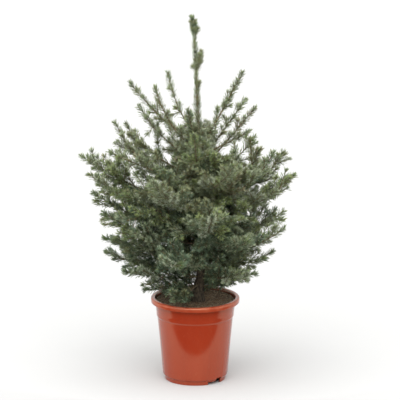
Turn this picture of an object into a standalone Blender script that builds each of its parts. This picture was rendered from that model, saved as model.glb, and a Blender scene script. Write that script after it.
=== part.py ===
# Young potted spruce: plastic nursery pot, soil, trunk, main boughs and the foliage masses round them.
# Units are metres, +Z is up, and the origin is the centre of the pot's underside.
import math
from typing import NamedTuple

import bmesh
import bpy
import numpy as np
from mathutils import Matrix, Vector, noise

# Pot: outer radii and heights, from the foot to the lip
POT_HEIGHT = 0.180
POT_WALL = 0.0016
FLOOR_THICKNESS = 0.0022
DISC_RADIUS = 0.0280
CHANNEL_Z = 0.0065
CHANNEL_SLOPE = 0.0032
FOOT_RING_WIDTH = 0.0025
FOOT_STEP = 0.0010
FOOT_RADIUS = 0.0643
FOOT_HEIGHT = 0.0095
BODY_FOOT_RADIUS = 0.0685
BODY_TOP_RADIUS = 0.0808
BODY_TOP_Z = 0.138
COLLAR_FOOT_RADIUS = 0.0830
COLLAR_FOOT_Z = 0.149
COLLAR_TOP_RADIUS = 0.0870
LIP_RADIUS = 0.0950
LIP_DROP = 0.0100
LIP_ROUND = 0.0030
LIP_THICKNESS = 0.0040
LIP_TAPER = 0.0004
POT_SEGMENTS = 30
NOTCH_AZIMUTHS = (-50.0, 130.0)
NOTCH_WIDTH = 0.034
DRAIN_WIDTH = 0.015
DRAIN_TOP_Z = 0.0130
DRAIN_OFFSET = 0.0095
CUT_DEPTH = 0.0100

# Soil: fills the pot, with a rough top round a level patch under the trunk
SOIL_TOP_Z = 0.170
SOIL_ROUGHNESS = 0.0030
SOIL_LEVEL_RADIUS = 0.019
SOIL_RINGS = (0.034, 0.058)
SOIL_SEGMENTS = 20
SOIL_FOOT_RADIUS = 0.0568
SOIL_FOOT_CORNER_Z = 0.0143
SOIL_GRAIN = 90.0

# Trunk: a bowed axis from the soil to the leader's tip
TRUNK_TIP_Z = 0.789
TRUNK_FOOT_X = 0.0047
TRUNK_TIP_X = -0.0055
TRUNK_BOW = 0.0132
TRUNK_BOW_START = 0.09
TRUNK_SWAY = 0.0030
TRUNK_FOOT_RADIUS = 0.0098
TRUNK_TIP_RADIUS = 0.0014
TRUNK_TAPER = 1.5
ROOT_FLARE = 0.0060
ROOT_FLARE_HEIGHT = 0.028
TRUNK_RINGS = 20
RING_CROWDING = 1.5
CUTTER_DROP = 0.010

# Limbs and stems
GAP = 0.0003
STEM_TIP_RADIUS = 0.0009
STEM_FOOT_RADIUS = 0.0012
STEM_THICKENING = 0.0050
LIMB_SHARE = 0.34
BARE_SHARE = 0.16
STEM_SHARE = 0.62
AXIS_RINGS = 5
SAG_OUTWARD = 0.7
WELD = 1e-5

# Foliage: toothed blades, in which each tooth stands for a short side shoot with its needles
BLADE_THICKNESS = 0.0012
BLADE_CORE = 0.0026
TIP_REACH = 0.0095
FULL_REACH = 0.0280
SIDE_REACH = 0.0170
TOOTH_LEAN = 1.00
TOOTH_PITCH = 0.0200
TOOTH_SPREAD = 0.90
SPINE_SET_IN = 0.06
SHOOT_SET_IN = 0.04
SIDE_SHOOTS = 4
LAST_SHOOT = 0.88
SHOOT_SHIFT = 0.25
SIDE_SHARE = 0.50
SIDE_SHORTENING = (1.20, 0.96)
SLIM_SHARE = 0.30
SIDE_ANGLE = (46.0, 8.0)
SIDE_LIFT = (0.16, 0.20)
SIDE_ROLL = (58.0, 30.0)
SIDE_SLIMMING = 0.85
SIDE_STALK = 0.14
SPINE_TESTS = (0.35, 0.7, 1.0)
SHRINKS = (1.0, 0.8, 0.6, 0.42)
FULL_BELOW_Z = 0.480
SLIM_ABOVE_Z = 0.600
SPACE_GAP = 0.0016
LIMB_CLEARANCE = 0.0060
RIM_CLEARANCE = 0.0060
CROWN_REACH = 0.2470
AXIS_SAMPLES = 40
SEED = 11

# Leader: the needle-clad top of the trunk
LEADER_FOOT_Z = 0.560
LEADER_SPACE_Z = 0.540
LEADER_SLEEVE = 0.0022
LEADER_TIP_Z = 0.799
LEADER_RINGS = 9
CLUB_RADIUS = 0.0066
CLUB_Z = 0.774
CLUB_SPREAD = 0.013
LEADER_NEEDLE = 0.0100
LEADER_NEEDLE_RADIUS = 0.0016
LEADER_NEEDLE_ROOT = 0.0012
LEADER_NEEDLES = 24
LEADER_NEEDLES_FROM_Z = 0.564
LEADER_NEEDLES_TO_Z = 0.786
LEADER_NEEDLE_LEAN = 42.0
GOLDEN_ANGLE = math.radians(137.5)


class Bough(NamedTuple):
    """One bough: where it leaves the trunk, its tip, how far it sags, and whether its bare limb shows."""

    name: str
    foot_z: float
    tip: tuple
    sag: float = 0.12
    limb: bool = False


class LeaderShoot(NamedTuple):
    """One short shoot that stands beside the leader."""

    foot_z: float
    azimuth: float
    length: float
    lean: float


# Boughs seen in outline, from the top whorl down. Tips are x to the right, y away from the viewer, z up.
BOUGHS = (
    Bough("top_left", 0.524, (-0.136, 0.020, 0.644), 0.12, True),
    Bough("top_back_left", 0.536, (-0.056, 0.045, 0.658), 0.19),
    Bough("top_front_left", 0.500, (-0.084, -0.050, 0.649), 0.14),
    Bough("top_front", 0.530, (-0.015, -0.045, 0.600), 0.16),
    Bough("top_back_right", 0.452, (0.048, 0.060, 0.580), 0.24),
    Bough("top_back", 0.496, (-0.009, 0.105, 0.555), 0.12),
    Bough("right_tall", 0.504, (0.097, -0.022, 0.676), 0.03, True),
    Bough("right_second", 0.468, (0.105, 0.030, 0.602), -0.02, True),
    Bough("right_third", 0.444, (0.122, -0.052, 0.605), -0.02, True),
    Bough("left_second", 0.465, (-0.117, -0.016, 0.599), 0.07, True),
    Bough("left_upright", 0.398, (-0.079, 0.020, 0.554), 0.46, True),
    Bough("left_third", 0.428, (-0.170, -0.030, 0.571), 0.24, True),
    Bough("left_fourth", 0.446, (-0.146, 0.012, 0.555), 0.18),
    Bough("left_outer", 0.372, (-0.239, 0.018, 0.485), 0.08, True),
    Bough("left_front_outer", 0.413, (-0.178, -0.076, 0.517), 0.00),
    Bough("left_low_outer", 0.345, (-0.224, -0.046, 0.460), 0.10),
    Bough("right_fourth", 0.430, (0.123, 0.068, 0.513), 0.12),
    Bough("right_front_outer", 0.388, (0.161, -0.075, 0.513), 0.20),
    Bough("right_high_outer", 0.374, (0.187, 0.034, 0.488), 0.17, True),
    Bough("right_outer", 0.345, (0.207, -0.030, 0.454), 0.12),
    Bough("left_low", 0.314, (-0.215, 0.036, 0.397), 0.10),
    Bough("left_middle", 0.296, (-0.190, -0.062, 0.379), 0.12),
    Bough("left_lower", 0.276, (-0.192, -0.020, 0.314), 0.12, True),
    Bough("left_bottom", 0.244, (-0.188, 0.040, 0.266), 0.11),
    Bough("left_lowest", 0.224, (-0.152, -0.030, 0.244), 0.10),
    Bough("right_low", 0.308, (0.187, 0.034, 0.357), 0.10),
    Bough("right_lower", 0.270, (0.186, -0.040, 0.341), 0.14, True),
    Bough("right_bottom", 0.240, (0.162, 0.016, 0.274), 0.11),
    Bough("right_lowest", 0.218, (0.127, -0.042, 0.241), 0.03),
    Bough("front_left_lowest", 0.208, (-0.046, -0.100, 0.202), 0.04),
    Bough("left_hanging", 0.206, (-0.104, -0.030, 0.202), 0.03),
    Bough("right_upright", 0.398, (0.132, -0.045, 0.516), 0.28),
    Bough("right_slender", 0.486, (0.111, -0.060, 0.560), 0.00),
)

# Boughs that fill the front and the back: (foot height, azimuth in degrees, reach, rise)
FRONT_RING = (
    (0.462, -92.0, 0.125, 0.105),
    (0.410, -62.0, 0.165, 0.095),
    (0.372, -118.0, 0.185, 0.100),
    (0.330, -80.0, 0.205, 0.080),
    (0.290, -56.0, 0.190, 0.055),
    (0.262, -108.0, 0.190, 0.045),
    (0.232, -50.0, 0.150, 0.034),
)
BACK_RING = (
    (0.424, 112.0, 0.165, 0.105),
    (0.358, 66.0, 0.200, 0.090),
    (0.322, 128.0, 0.210, 0.085),
    (0.284, 92.0, 0.200, 0.060),
    (0.252, 46.0, 0.180, 0.040),
)
RING_SAG = 0.13

LEADER_SHOOTS = (
    LeaderShoot(0.674, 5.0, 0.050, 11.0),
    LeaderShoot(0.676, 170.0, 0.018, 30.0),
    LeaderShoot(0.641, -12.0, 0.016, 26.0),
    LeaderShoot(0.757, 15.0, 0.017, 30.0),
)

UP = Vector((0.0, 0.0, 1.0))


# Scene, collections and materials


def clear_scene():
    """Remove whatever the file holds at the start."""
    for obj in list(bpy.data.objects):
        bpy.data.objects.remove(obj, do_unlink=True)


def new_collection(name):
    """A collection linked to the scene."""
    made = bpy.data.collections.new(name)
    bpy.context.scene.collection.children.link(made)
    return made


def finish(name, color, roughness):
    """A Principled material of one colour."""
    made = bpy.data.materials.new(name)
    made.use_nodes = True
    shader = made.node_tree.nodes["Principled BSDF"]
    shader.inputs["Base Color"].default_value = (*color, 1.0)
    shader.inputs["Roughness"].default_value = roughness
    shader.inputs["Metallic"].default_value = 0.0
    return made


def add_object(name, data, collection):
    """A new object in one collection."""
    made = bpy.data.objects.new(name, data)
    collection.objects.link(made)
    return made


def dress(obj, material, crease=None):
    """Give a solid its material, and shade it smooth up to a crease angle if it is round."""
    obj.data.materials.clear()
    obj.data.materials.append(material)
    if crease:
        obj.data.shade_smooth()
        obj.data.set_sharp_from_angle(angle=math.radians(crease))
    return obj


def evaluated_mesh(obj):
    """The object's mesh as its modifiers leave it."""
    bpy.context.view_layer.update()
    graph = bpy.context.evaluated_depsgraph_get()
    return bpy.data.meshes.new_from_object(obj.evaluated_get(graph))


def bake(obj):
    """Turn an object into a plain welded mesh in world space, under the same name."""
    mesh = evaluated_mesh(obj)
    mesh.transform(obj.matrix_world)
    cage = bmesh.new()
    cage.from_mesh(mesh)
    bmesh.ops.remove_doubles(cage, verts=cage.verts, dist=WELD)
    bmesh.ops.recalc_face_normals(cage, faces=cage.faces)
    cage.to_mesh(mesh)
    cage.free()
    name, collection = obj.name, obj.users_collection[0]
    bpy.data.objects.remove(obj, do_unlink=True)
    return add_object(name, mesh, collection)


def is_closed(mesh):
    """Whether every edge has two faces."""
    cage = bmesh.new()
    cage.from_mesh(mesh)
    closed = all(edge.is_manifold for edge in cage.edges)
    cage.free()
    return closed


def drop_scraps(mesh):
    """Keep the largest connected piece of a mesh."""
    cage = bmesh.new()
    cage.from_mesh(mesh)
    left, islands = set(cage.verts), []
    while left:
        waiting = [left.pop()]
        reached = set(waiting)
        while waiting:
            vert = waiting.pop()
            beside = {edge.other_vert(vert) for edge in vert.link_edges} - reached
            reached |= beside
            waiting.extend(beside)
        left -= reached
        islands.append(reached)
    islands.sort(key=len)
    for scrap in islands[:-1]:
        bmesh.ops.delete(cage, geom=list(scrap), context="VERTS")
    cage.to_mesh(mesh)
    cage.free()


def combine(obj, operation, tool=None, tools=None):
    """Apply one Boolean with an object or a collection. MANIFOLD takes over where EXACT leaves an opening."""
    for solver in ("EXACT", "MANIFOLD"):
        cut = obj.modifiers.new("combine", "BOOLEAN")
        cut.operation = operation
        cut.solver = solver
        if tools:
            cut.operand_type = "COLLECTION"
            cut.collection = tools
        else:
            cut.object = tool
        mesh = evaluated_mesh(obj)
        obj.modifiers.remove(cut)
        if mesh.polygons and is_closed(mesh):
            break
    obj.data = mesh
    return obj


def remove_all(collection):
    """Remove a collection with its objects."""
    for obj in list(collection.objects):
        bpy.data.objects.remove(obj, do_unlink=True)
    bpy.data.collections.remove(collection)


# Basic solids


def tube(name, points, radii, collection, resolution=0):
    """A tapering round limb along a list of points."""
    data = bpy.data.curves.new(name, "CURVE")
    data.dimensions = "3D"
    data.bevel_depth = 1.0
    data.bevel_resolution = resolution
    data.use_fill_caps = True
    spline = data.splines.new("POLY")
    spline.points.add(len(points) - 1)
    for place, point, radius in zip(spline.points, points, radii):
        place.co = (*point, 1.0)
        place.radius = radius
    return bake(add_object(name, data, collection))


def plate(name, outline, frame, thickness, collection):
    """A flat outline in the XY plane of a frame, with an even thickness."""
    data = bpy.data.curves.new(name, "CURVE")
    data.dimensions = "2D"
    data.fill_mode = "BOTH"
    data.extrude = thickness / 2
    spline = data.splines.new("POLY")
    spline.points.add(len(outline) - 1)
    for place, (along, across) in zip(spline.points, outline):
        place.co = (along, across, 0.0, 1.0)
    spline.use_cyclic_u = True
    obj = add_object(name, data, collection)
    obj.matrix_world = frame
    return bake(obj)


def lathe(name, profile, segments, collection):
    """A turned solid from a closed profile of (radius, height) points that runs down its outer side."""
    mesh = bpy.data.meshes.new(name)
    count = len(profile)
    edges = [(index, (index + 1) % count) for index in range(count)]
    mesh.from_pydata([(radius, 0.0, z) for radius, z in profile], edges, [])
    obj = add_object(name, mesh, collection)
    turn = obj.modifiers.new("turn", "SCREW")
    turn.axis = "Z"
    turn.steps = turn.render_steps = segments
    turn.use_merge_vertices = True
    turn.merge_threshold = WELD
    return bake(obj)


# Trunk


def trunk_axis(z):
    """Centre of the trunk at a height: a straight lean, with a bow that starts low and fades upwards."""
    share = min(max((z - SOIL_TOP_Z) / (TRUNK_TIP_Z - SOIL_TOP_Z), 0.0), 1.0)
    bow = math.sqrt(1.0 - share) * (1.0 - math.exp(-((share / TRUNK_BOW_START) ** 2)))
    x = TRUNK_FOOT_X * (1.0 - share) + TRUNK_TIP_X * share + TRUNK_BOW * bow
    return Vector((x, TRUNK_SWAY * math.sin(math.tau * share), z))


def trunk_radius(z):
    """Radius of the trunk at a height, with the root flare at its foot."""
    share = min(max((z - SOIL_TOP_Z) / (TRUNK_TIP_Z - SOIL_TOP_Z), 0.0), 1.0)
    taper = (TRUNK_FOOT_RADIUS - TRUNK_TIP_RADIUS) * (1.0 - share) ** TRUNK_TAPER
    flare = ROOT_FLARE * math.exp(-(z - SOIL_TOP_Z) / ROOT_FLARE_HEIGHT)
    return TRUNK_TIP_RADIUS + taper + flare


def trunk_tube(name, slack, drop, collection):
    """A tube round the trunk's axis, thicker by a slack and reaching down past the foot by a drop."""
    shares = np.linspace(0.0, 1.0, TRUNK_RINGS) ** RING_CROWDING
    heights = SOIL_TOP_Z + shares * (TRUNK_TIP_Z - SOIL_TOP_Z)
    points = [trunk_axis(z) for z in heights]
    points[1].xy = points[0].xy
    points[0].z -= drop
    points[-1].z += slack
    return tube(name, points, [trunk_radius(z) + slack for z in heights], collection, resolution=2)


def build_trunk(collection, bark):
    """The trunk, with a level cut at its foot."""
    return dress(trunk_tube("trunk", 0.0, 0.0, collection), bark, crease=40.0)


# Pot and soil


def inner_wall():
    """The inside of the pot's wall as (radius, height) points, from the floor up."""
    return [
        (FOOT_RADIUS - POT_WALL, CHANNEL_Z + FLOOR_THICKNESS),
        (BODY_FOOT_RADIUS - POT_WALL, FOOT_HEIGHT + 2 * POT_WALL),
        (BODY_TOP_RADIUS - POT_WALL, BODY_TOP_Z + 0.4 * POT_WALL),
        (COLLAR_FOOT_RADIUS - POT_WALL, COLLAR_FOOT_Z + 0.4 * POT_WALL),
        (COLLAR_TOP_RADIUS - POT_WALL, POT_HEIGHT - LIP_THICKNESS),
    ]


def pot_inner_radius(z):
    """Inner radius of the pot's wall at a height."""
    radii, heights = zip(*inner_wall())
    return float(np.interp(z, heights, radii))


def pot_profile():
    """Section of the pot: down the outside from the lip, across the underside, and up the inside."""
    skirt_in = LIP_RADIUS - POT_WALL
    ring_in = FOOT_RADIUS - FOOT_RING_WIDTH
    shift = FLOOR_THICKNESS * 0.5
    outside = [
        (LIP_RADIUS - LIP_ROUND, POT_HEIGHT),
        (LIP_RADIUS, POT_HEIGHT - LIP_ROUND),
        (LIP_RADIUS - LIP_TAPER, POT_HEIGHT - LIP_DROP),
        (skirt_in, POT_HEIGHT - LIP_DROP),
        (skirt_in, POT_HEIGHT - LIP_THICKNESS),
        (COLLAR_TOP_RADIUS, POT_HEIGHT - LIP_THICKNESS),
        (COLLAR_FOOT_RADIUS, COLLAR_FOOT_Z),
        (BODY_TOP_RADIUS, BODY_TOP_Z),
        (BODY_FOOT_RADIUS, FOOT_HEIGHT + POT_WALL),
        (FOOT_RADIUS + FOOT_STEP, FOOT_HEIGHT - FOOT_STEP),
        (FOOT_RADIUS, 0.0),
    ]
    underside = [
        (ring_in, 0.0),
        (ring_in, CHANNEL_Z),
        (DISC_RADIUS + CHANNEL_SLOPE, CHANNEL_Z),
        (DISC_RADIUS, 0.0),
        (0.0, 0.0),
    ]
    floor = [
        (0.0, FLOOR_THICKNESS),
        (DISC_RADIUS - shift, FLOOR_THICKNESS),
        (DISC_RADIUS + CHANNEL_SLOPE - shift, CHANNEL_Z + FLOOR_THICKNESS),
    ]
    return [*outside, *underside, *floor, *inner_wall(), (COLLAR_TOP_RADIUS, POT_HEIGHT)]


def box(name, size, frame, collection):
    """A box of a given size, centred on a frame."""
    bpy.ops.mesh.primitive_cube_add(size=1.0)
    obj = bpy.context.object
    obj.name = name
    for owner in obj.users_collection:
        owner.objects.unlink(obj)
    collection.objects.link(obj)
    obj.data.transform(frame @ Matrix.Diagonal((*size, 1.0)))
    return obj


def build_pot(collection, cutters, plastic):
    """The pot, with two notches through its foot ring and a drain slot at the end of each."""
    pot = lathe("pot", pot_profile(), POT_SEGMENTS, collection)
    for azimuth in NOTCH_AZIMUTHS:
        turn = Matrix.Rotation(math.radians(azimuth), 4, "Z")
        notch_place = turn @ Matrix.Translation((FOOT_RADIUS, 0.0, 0.0))
        notch_size = (CUT_DEPTH, NOTCH_WIDTH, 2 * (CHANNEL_Z - GAP))
        combine(pot, "DIFFERENCE", tool=box(f"notch_{azimuth:.0f}", notch_size, notch_place, cutters))
        drain_place = turn @ Matrix.Translation((FOOT_RADIUS, DRAIN_OFFSET, 0.0))
        drain_size = (2 * CUT_DEPTH, DRAIN_WIDTH, 2 * DRAIN_TOP_Z)
        combine(pot, "DIFFERENCE", tool=box(f"drain_{azimuth:.0f}", drain_size, drain_place, cutters))
    return dress(pot, plastic, crease=35.0)


def build_soil(collection, peat):
    """The root ball: a turned plug with a rough top, level where the trunk stands."""
    facet = math.cos(math.pi / POT_SEGMENTS)
    floor_z = CHANNEL_Z + FLOOR_THICKNESS + GAP
    side_heights = (SOIL_TOP_Z - 2 * SOIL_ROUGHNESS, COLLAR_FOOT_Z, BODY_TOP_Z, SOIL_FOOT_CORNER_Z)
    profile = [
        *((pot_inner_radius(z - POT_WALL) * facet - GAP, z) for z in side_heights),
        (SOIL_FOOT_RADIUS, floor_z),
        (0.0, floor_z),
        (0.0, SOIL_TOP_Z - GAP),
        (SOIL_LEVEL_RADIUS, SOIL_TOP_Z - GAP),
        *((radius, SOIL_TOP_Z) for radius in SOIL_RINGS),
    ]
    soil = lathe("soil", profile, SOIL_SEGMENTS, collection)
    for vert in soil.data.vertices:
        if vert.co.xy.length > SOIL_LEVEL_RADIUS + GAP and vert.co.z > SOIL_TOP_Z - GAP:
            vert.co.z += SOIL_ROUGHNESS * (noise.noise(vert.co * SOIL_GRAIN) - 0.5)
    return dress(soil, peat)


# Boughs


def ring_boughs():
    """The boughs that fill the front and the back, from their rings."""
    for side, rows in (("front", FRONT_RING), ("back", BACK_RING)):
        for index, (foot_z, azimuth, reach, rise) in enumerate(rows, start=1):
            turn = math.radians(azimuth)
            tip = (reach * math.cos(turn), reach * math.sin(turn), foot_z + rise)
            yield Bough(f"{side}_{index}", foot_z, tip, RING_SAG)


class Axis:
    """The planar curve of a bough: a quadratic Bezier curve from the trunk's centre to the tip."""

    def __init__(self, bough):
        self.foot = trunk_axis(bough.foot_z)
        self.tip = Vector(bough.tip)
        run = self.tip - self.foot
        self.outward = Vector((run.x, run.y, 0.0)).normalized()
        self.length = run.length
        middle = (self.foot + self.tip) / 2
        self.control = middle + (self.outward * SAG_OUTWARD - UP) * bough.sag * self.length
        self.normal = self.outward.cross(UP)
        slim = (self.tip.z - FULL_BELOW_Z) / (SLIM_ABOVE_Z - FULL_BELOW_Z)
        self.fullness = 1.0 - min(max(slim, 0.0), 1.0)

    def at(self, share):
        """The point at a share of the way from foot to tip."""
        rest = 1.0 - share
        return self.foot * rest * rest + self.control * 2 * rest * share + self.tip * share * share

    def along(self, share):
        """The unit direction of travel at that share."""
        rest = 1.0 - share
        return ((self.control - self.foot) * rest + (self.tip - self.control) * share).normalized()

    def flat(self, point):
        """A point of the curve's plane as (outward, up), from the foot."""
        return (point - self.foot).dot(self.outward), point.z - self.foot.z

    def frame(self):
        """The plane of the curve as a matrix: X outward, Y up."""
        columns = Matrix((self.outward, UP, self.normal)).transposed().to_4x4()
        return Matrix.Translation(self.foot) @ columns

    def radius(self, share):
        """Radius of the wood at that share."""
        foot = STEM_FOOT_RADIUS + STEM_THICKENING * self.length
        return foot + (STEM_TIP_RADIUS - foot) * share


class Spaces:
    """The room that each bough's foliage keeps to: all that is nearer to its own axis than to any other."""

    def __init__(self, axes):
        shares = np.linspace(0.10, 1.0, AXIS_SAMPLES)
        lines = [[axis.at(share) for share in shares] for axis in axes]
        heights = np.linspace(LEADER_SPACE_Z, TRUNK_TIP_Z, AXIS_SAMPLES)
        lines.append([trunk_axis(z) for z in heights])
        self.lines = np.array([[tuple(point) for point in line] for line in lines])
        self.leader = len(axes)

    def hold(self, points, owner):
        """Whether all the points are in the owner's room, inside the crown and clear of trunk and pot."""
        places = np.array([tuple(point) for point in points])
        away = np.linalg.norm(places[:, None, None, :] - self.lines[None], axis=3).min(axis=2)
        own = away[:, owner].copy()
        away[:, owner] = np.inf
        nearest = away.min(axis=1)
        if (own + SPACE_GAP >= nearest).any() or (nearest < LIMB_CLEARANCE).any():
            return False
        if places[:, 2].min() < POT_HEIGHT + RIM_CLEARANCE or np.hypot(*places[:, :2].T).max() > CROWN_REACH:
            return False
        centres = [trunk_axis(z) for z in places[:, 2]]
        outside = [(Vector(place) - centre).xy.length for place, centre in zip(places, centres)]
        free = [reach - trunk_radius(z) > 2 * GAP for reach, z in zip(outside, places[:, 2])]
        return owner == self.leader or all(free)


def tooth_places(length, start, reach_at):
    """Shares of the way along a blade where teeth stand, further apart where they reach further."""
    shares = [start]
    while shares[-1] < 1.0:
        shares.append(shares[-1] + (TOOTH_PITCH + TOOTH_SPREAD * reach_at(shares[-1])) / length)
    stretch = (1.0 - start) / (shares[-1] - start)
    return [start + (share - start) * stretch for share in shares]


def toothed_side(side, places, line, reach_at, fits):
    """One side of a blade: a notch at the core and a tooth that leans towards the tip, at every place."""
    points = []
    for share in places:
        point, along = line(share)
        across = Vector((-along.y, along.x)) * side
        points.append(point + across * BLADE_CORE)
        for shrink in SHRINKS:
            width = reach_at(share) * shrink
            tooth = point + (along * TOOTH_LEAN + across) * width
            if fits([tooth, (tooth + point) / 2]):
                points.append(tooth)
                break
    return points


def toothed_outline(length, start, line, reach_at, fits):
    """A blade's outline round its centre line, with the teeth of its two sides taking turns."""
    places = tooth_places(length, start, reach_at)
    between = [(here + following) / 2 for here, following in zip(places[:-1], places[1:])]
    near = toothed_side(1, places[:-1], line, reach_at, fits)
    far = toothed_side(-1, [start, *between[:-1]], line, reach_at, fits)
    return [*far, line(1.0)[0], *reversed(near)]


def spine_blade(name, axis, start, spaces, owner, collection):
    """The toothed blade that stands in a bough's own upright plane and follows its curve to the tip."""
    frame = axis.frame()

    def line(share):
        along = axis.along(share)
        return Vector(axis.flat(axis.at(share))), Vector((along.dot(axis.outward), along.z))

    def reach_at(share):
        return TIP_REACH + FULL_REACH * axis.fullness * (1.0 - share)

    def fits(points):
        return spaces.hold([frame @ point.to_3d() for point in points], owner)

    outline = toothed_outline(axis.length, start, line, reach_at, fits)
    return plate(name, outline, frame, BLADE_THICKNESS, collection)


def side_blade(name, shoot, fullness, spaces, owner, collection):
    """One side shoot as a straight toothed blade, shortened until its tip fits, or None."""
    root, along, roll, length = shoot
    level = (UP - along * UP.dot(along)).normalized()
    normal = Matrix.Rotation(roll, 3, along) @ level
    across = normal.cross(along)
    frame = Matrix.Translation(root) @ Matrix((along, across, normal)).transposed().to_4x4()

    def reach_at(share):
        return SIDE_SLIMMING * TIP_REACH + SIDE_REACH * fullness * (1.0 - share)

    def fits(points):
        return spaces.hold([frame @ point.to_3d() for point in points], owner)

    for shrink in SHRINKS:
        long = length * shrink

        def line(share, long=long):
            return Vector((long * share, 0.0)), Vector((1.0, 0.0))

        if fits([line(share)[0] for share in SPINE_TESTS]):
            outline = [Vector((0.0, 0.0)), *toothed_outline(long, SIDE_STALK, line, reach_at, fits)]
            return plate(name, outline, frame, BLADE_THICKNESS, collection)
    return None


def side_shoots(axis, index, first):
    """The rule of the side shoots: they take turns along a bough, shorten towards its tip, and lift."""
    dice = np.random.default_rng(SEED + index)
    longest, shortening = SIDE_SHORTENING
    slimness = SLIM_SHARE + (1.0 - SLIM_SHARE) * axis.fullness
    for number, (shift, swing, lift, roll) in enumerate(dice.uniform(-1.0, 1.0, (SIDE_SHOOTS, 4))):
        share = first + (LAST_SHOOT - first) * (number + 0.5 + SHOOT_SHIFT * shift) / SIDE_SHOOTS
        side = 1 if (number + index) % 2 else -1
        angle = math.radians(SIDE_ANGLE[0] + SIDE_ANGLE[1] * swing)
        turned = axis.along(share) * math.cos(angle) + axis.normal * side * math.sin(angle)
        turned = (turned + UP * (SIDE_LIFT[0] + SIDE_LIFT[1] * lift)).normalized()
        length = axis.length * SIDE_SHARE * slimness * (longest - shortening * share)
        yield axis.at(share), turned, side * math.radians(SIDE_ROLL[0] + SIDE_ROLL[1] * roll), length


def axis_tube(name, axis, start, end, collection, resolution=0):
    """The wood of a bough between two shares of its axis."""
    shares = np.linspace(start, end, AXIS_RINGS)
    points = [axis.at(share) for share in shares]
    return tube(name, points, [axis.radius(share) for share in shares], collection, resolution)


def build_limb(bough, axis, clearance, collection, bark):
    """The bare inner part of a bough, cut clear of the trunk."""
    limb = axis_tube(f"limb_{bough.name}", axis, 0.0, LIMB_SHARE, collection, resolution=1)
    combine(limb, "DIFFERENCE", tool=clearance)
    drop_scraps(limb.data)
    return dress(limb, bark, crease=70.0)


def build_foliage(bough, index, axis, spaces, clearance, collection, needles):
    """One mass: a stem with its blades fused on, starting at the limb's end or at the trunk."""
    name = f"foliage_{bough.name}"
    start = LIMB_SHARE + GAP / axis.length if bough.limb else 0.0
    bare = LIMB_SHARE if bough.limb else BARE_SHARE
    stem = axis_tube(name, axis, start, STEM_SHARE, collection)
    blades = new_collection(f"blades_{bough.name}")
    spine_blade(f"{name}_spine", axis, bare + SPINE_SET_IN, spaces, index, blades)
    for number, shoot in enumerate(side_shoots(axis, index, bare + SHOOT_SET_IN)):
        side_blade(f"{name}_{number}", shoot, axis.fullness, spaces, index, blades)
    combine(stem, "UNION", tools=blades)
    remove_all(blades)
    if not bough.limb:
        combine(stem, "DIFFERENCE", tool=clearance)
    drop_scraps(stem.data)
    return dress(stem, needles)


# Leader


def leader_radius(z):
    """Radius of the leader's core: a sleeve on the trunk that swells to a club near the tip."""
    swelling = math.exp(-(((z - CLUB_Z) / CLUB_SPREAD) ** 2))
    return trunk_radius(z) + max(LEADER_SLEEVE, (CLUB_RADIUS - trunk_radius(CLUB_Z)) * swelling)


def spike(name, root, along, collection):
    """One three-sided needle."""
    bottom, height = LEADER_NEEDLE_RADIUS, LEADER_NEEDLE
    cage = bmesh.new()
    bmesh.ops.create_cone(cage, cap_ends=True, segments=3, radius1=bottom, radius2=0.0, depth=height)
    turn = along.to_track_quat("Z", "X").to_matrix().to_4x4()
    cage.transform(Matrix.Translation(root + along * height / 2) @ turn)
    mesh = bpy.data.meshes.new(name)
    cage.to_mesh(mesh)
    cage.free()
    return add_object(name, mesh, collection)


def leaning(azimuth, lean):
    """The direction outward at an azimuth, and the one that leans from upright towards it, in radians."""
    outward = Vector((math.cos(azimuth), math.sin(azimuth), 0.0))
    return outward, outward * math.sin(lean) + UP * math.cos(lean)


def build_leader(spaces, clearance, collection, needles):
    """The needles round the trunk's top, on a thin sleeve, with the short shoots beside it."""
    heights = np.linspace(LEADER_FOOT_Z, TRUNK_TIP_Z, LEADER_RINGS)
    points = [*(trunk_axis(z) for z in heights), trunk_axis(TRUNK_TIP_Z) + UP * (LEADER_TIP_Z - TRUNK_TIP_Z)]
    radii = [*(leader_radius(z) for z in heights), TRUNK_TIP_RADIUS]
    sleeve = tube("foliage_leader", points, radii, collection, resolution=1)
    blades = new_collection("blades_leader")
    for number, z in enumerate(np.linspace(LEADER_NEEDLES_FROM_Z, LEADER_NEEDLES_TO_Z, LEADER_NEEDLES)):
        outward, along = leaning(number * GOLDEN_ANGLE, math.radians(LEADER_NEEDLE_LEAN))
        root = trunk_axis(z) + outward * (leader_radius(z) - LEADER_NEEDLE_ROOT)
        spike(f"leader_needle_{number}", root, along, blades)
    for number, shoot in enumerate(LEADER_SHOOTS):
        outward, along = leaning(math.radians(shoot.azimuth), math.radians(shoot.lean))
        root = trunk_axis(shoot.foot_z) + outward * trunk_radius(shoot.foot_z)
        blade = (root, along, math.pi / 2, shoot.length)
        side_blade(f"leader_shoot_{number}", blade, 0.0, spaces, spaces.leader, blades)
    combine(sleeve, "UNION", tools=blades)
    remove_all(blades)
    combine(sleeve, "DIFFERENCE", tool=clearance)
    drop_scraps(sleeve.data)
    return dress(sleeve, needles)


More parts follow.
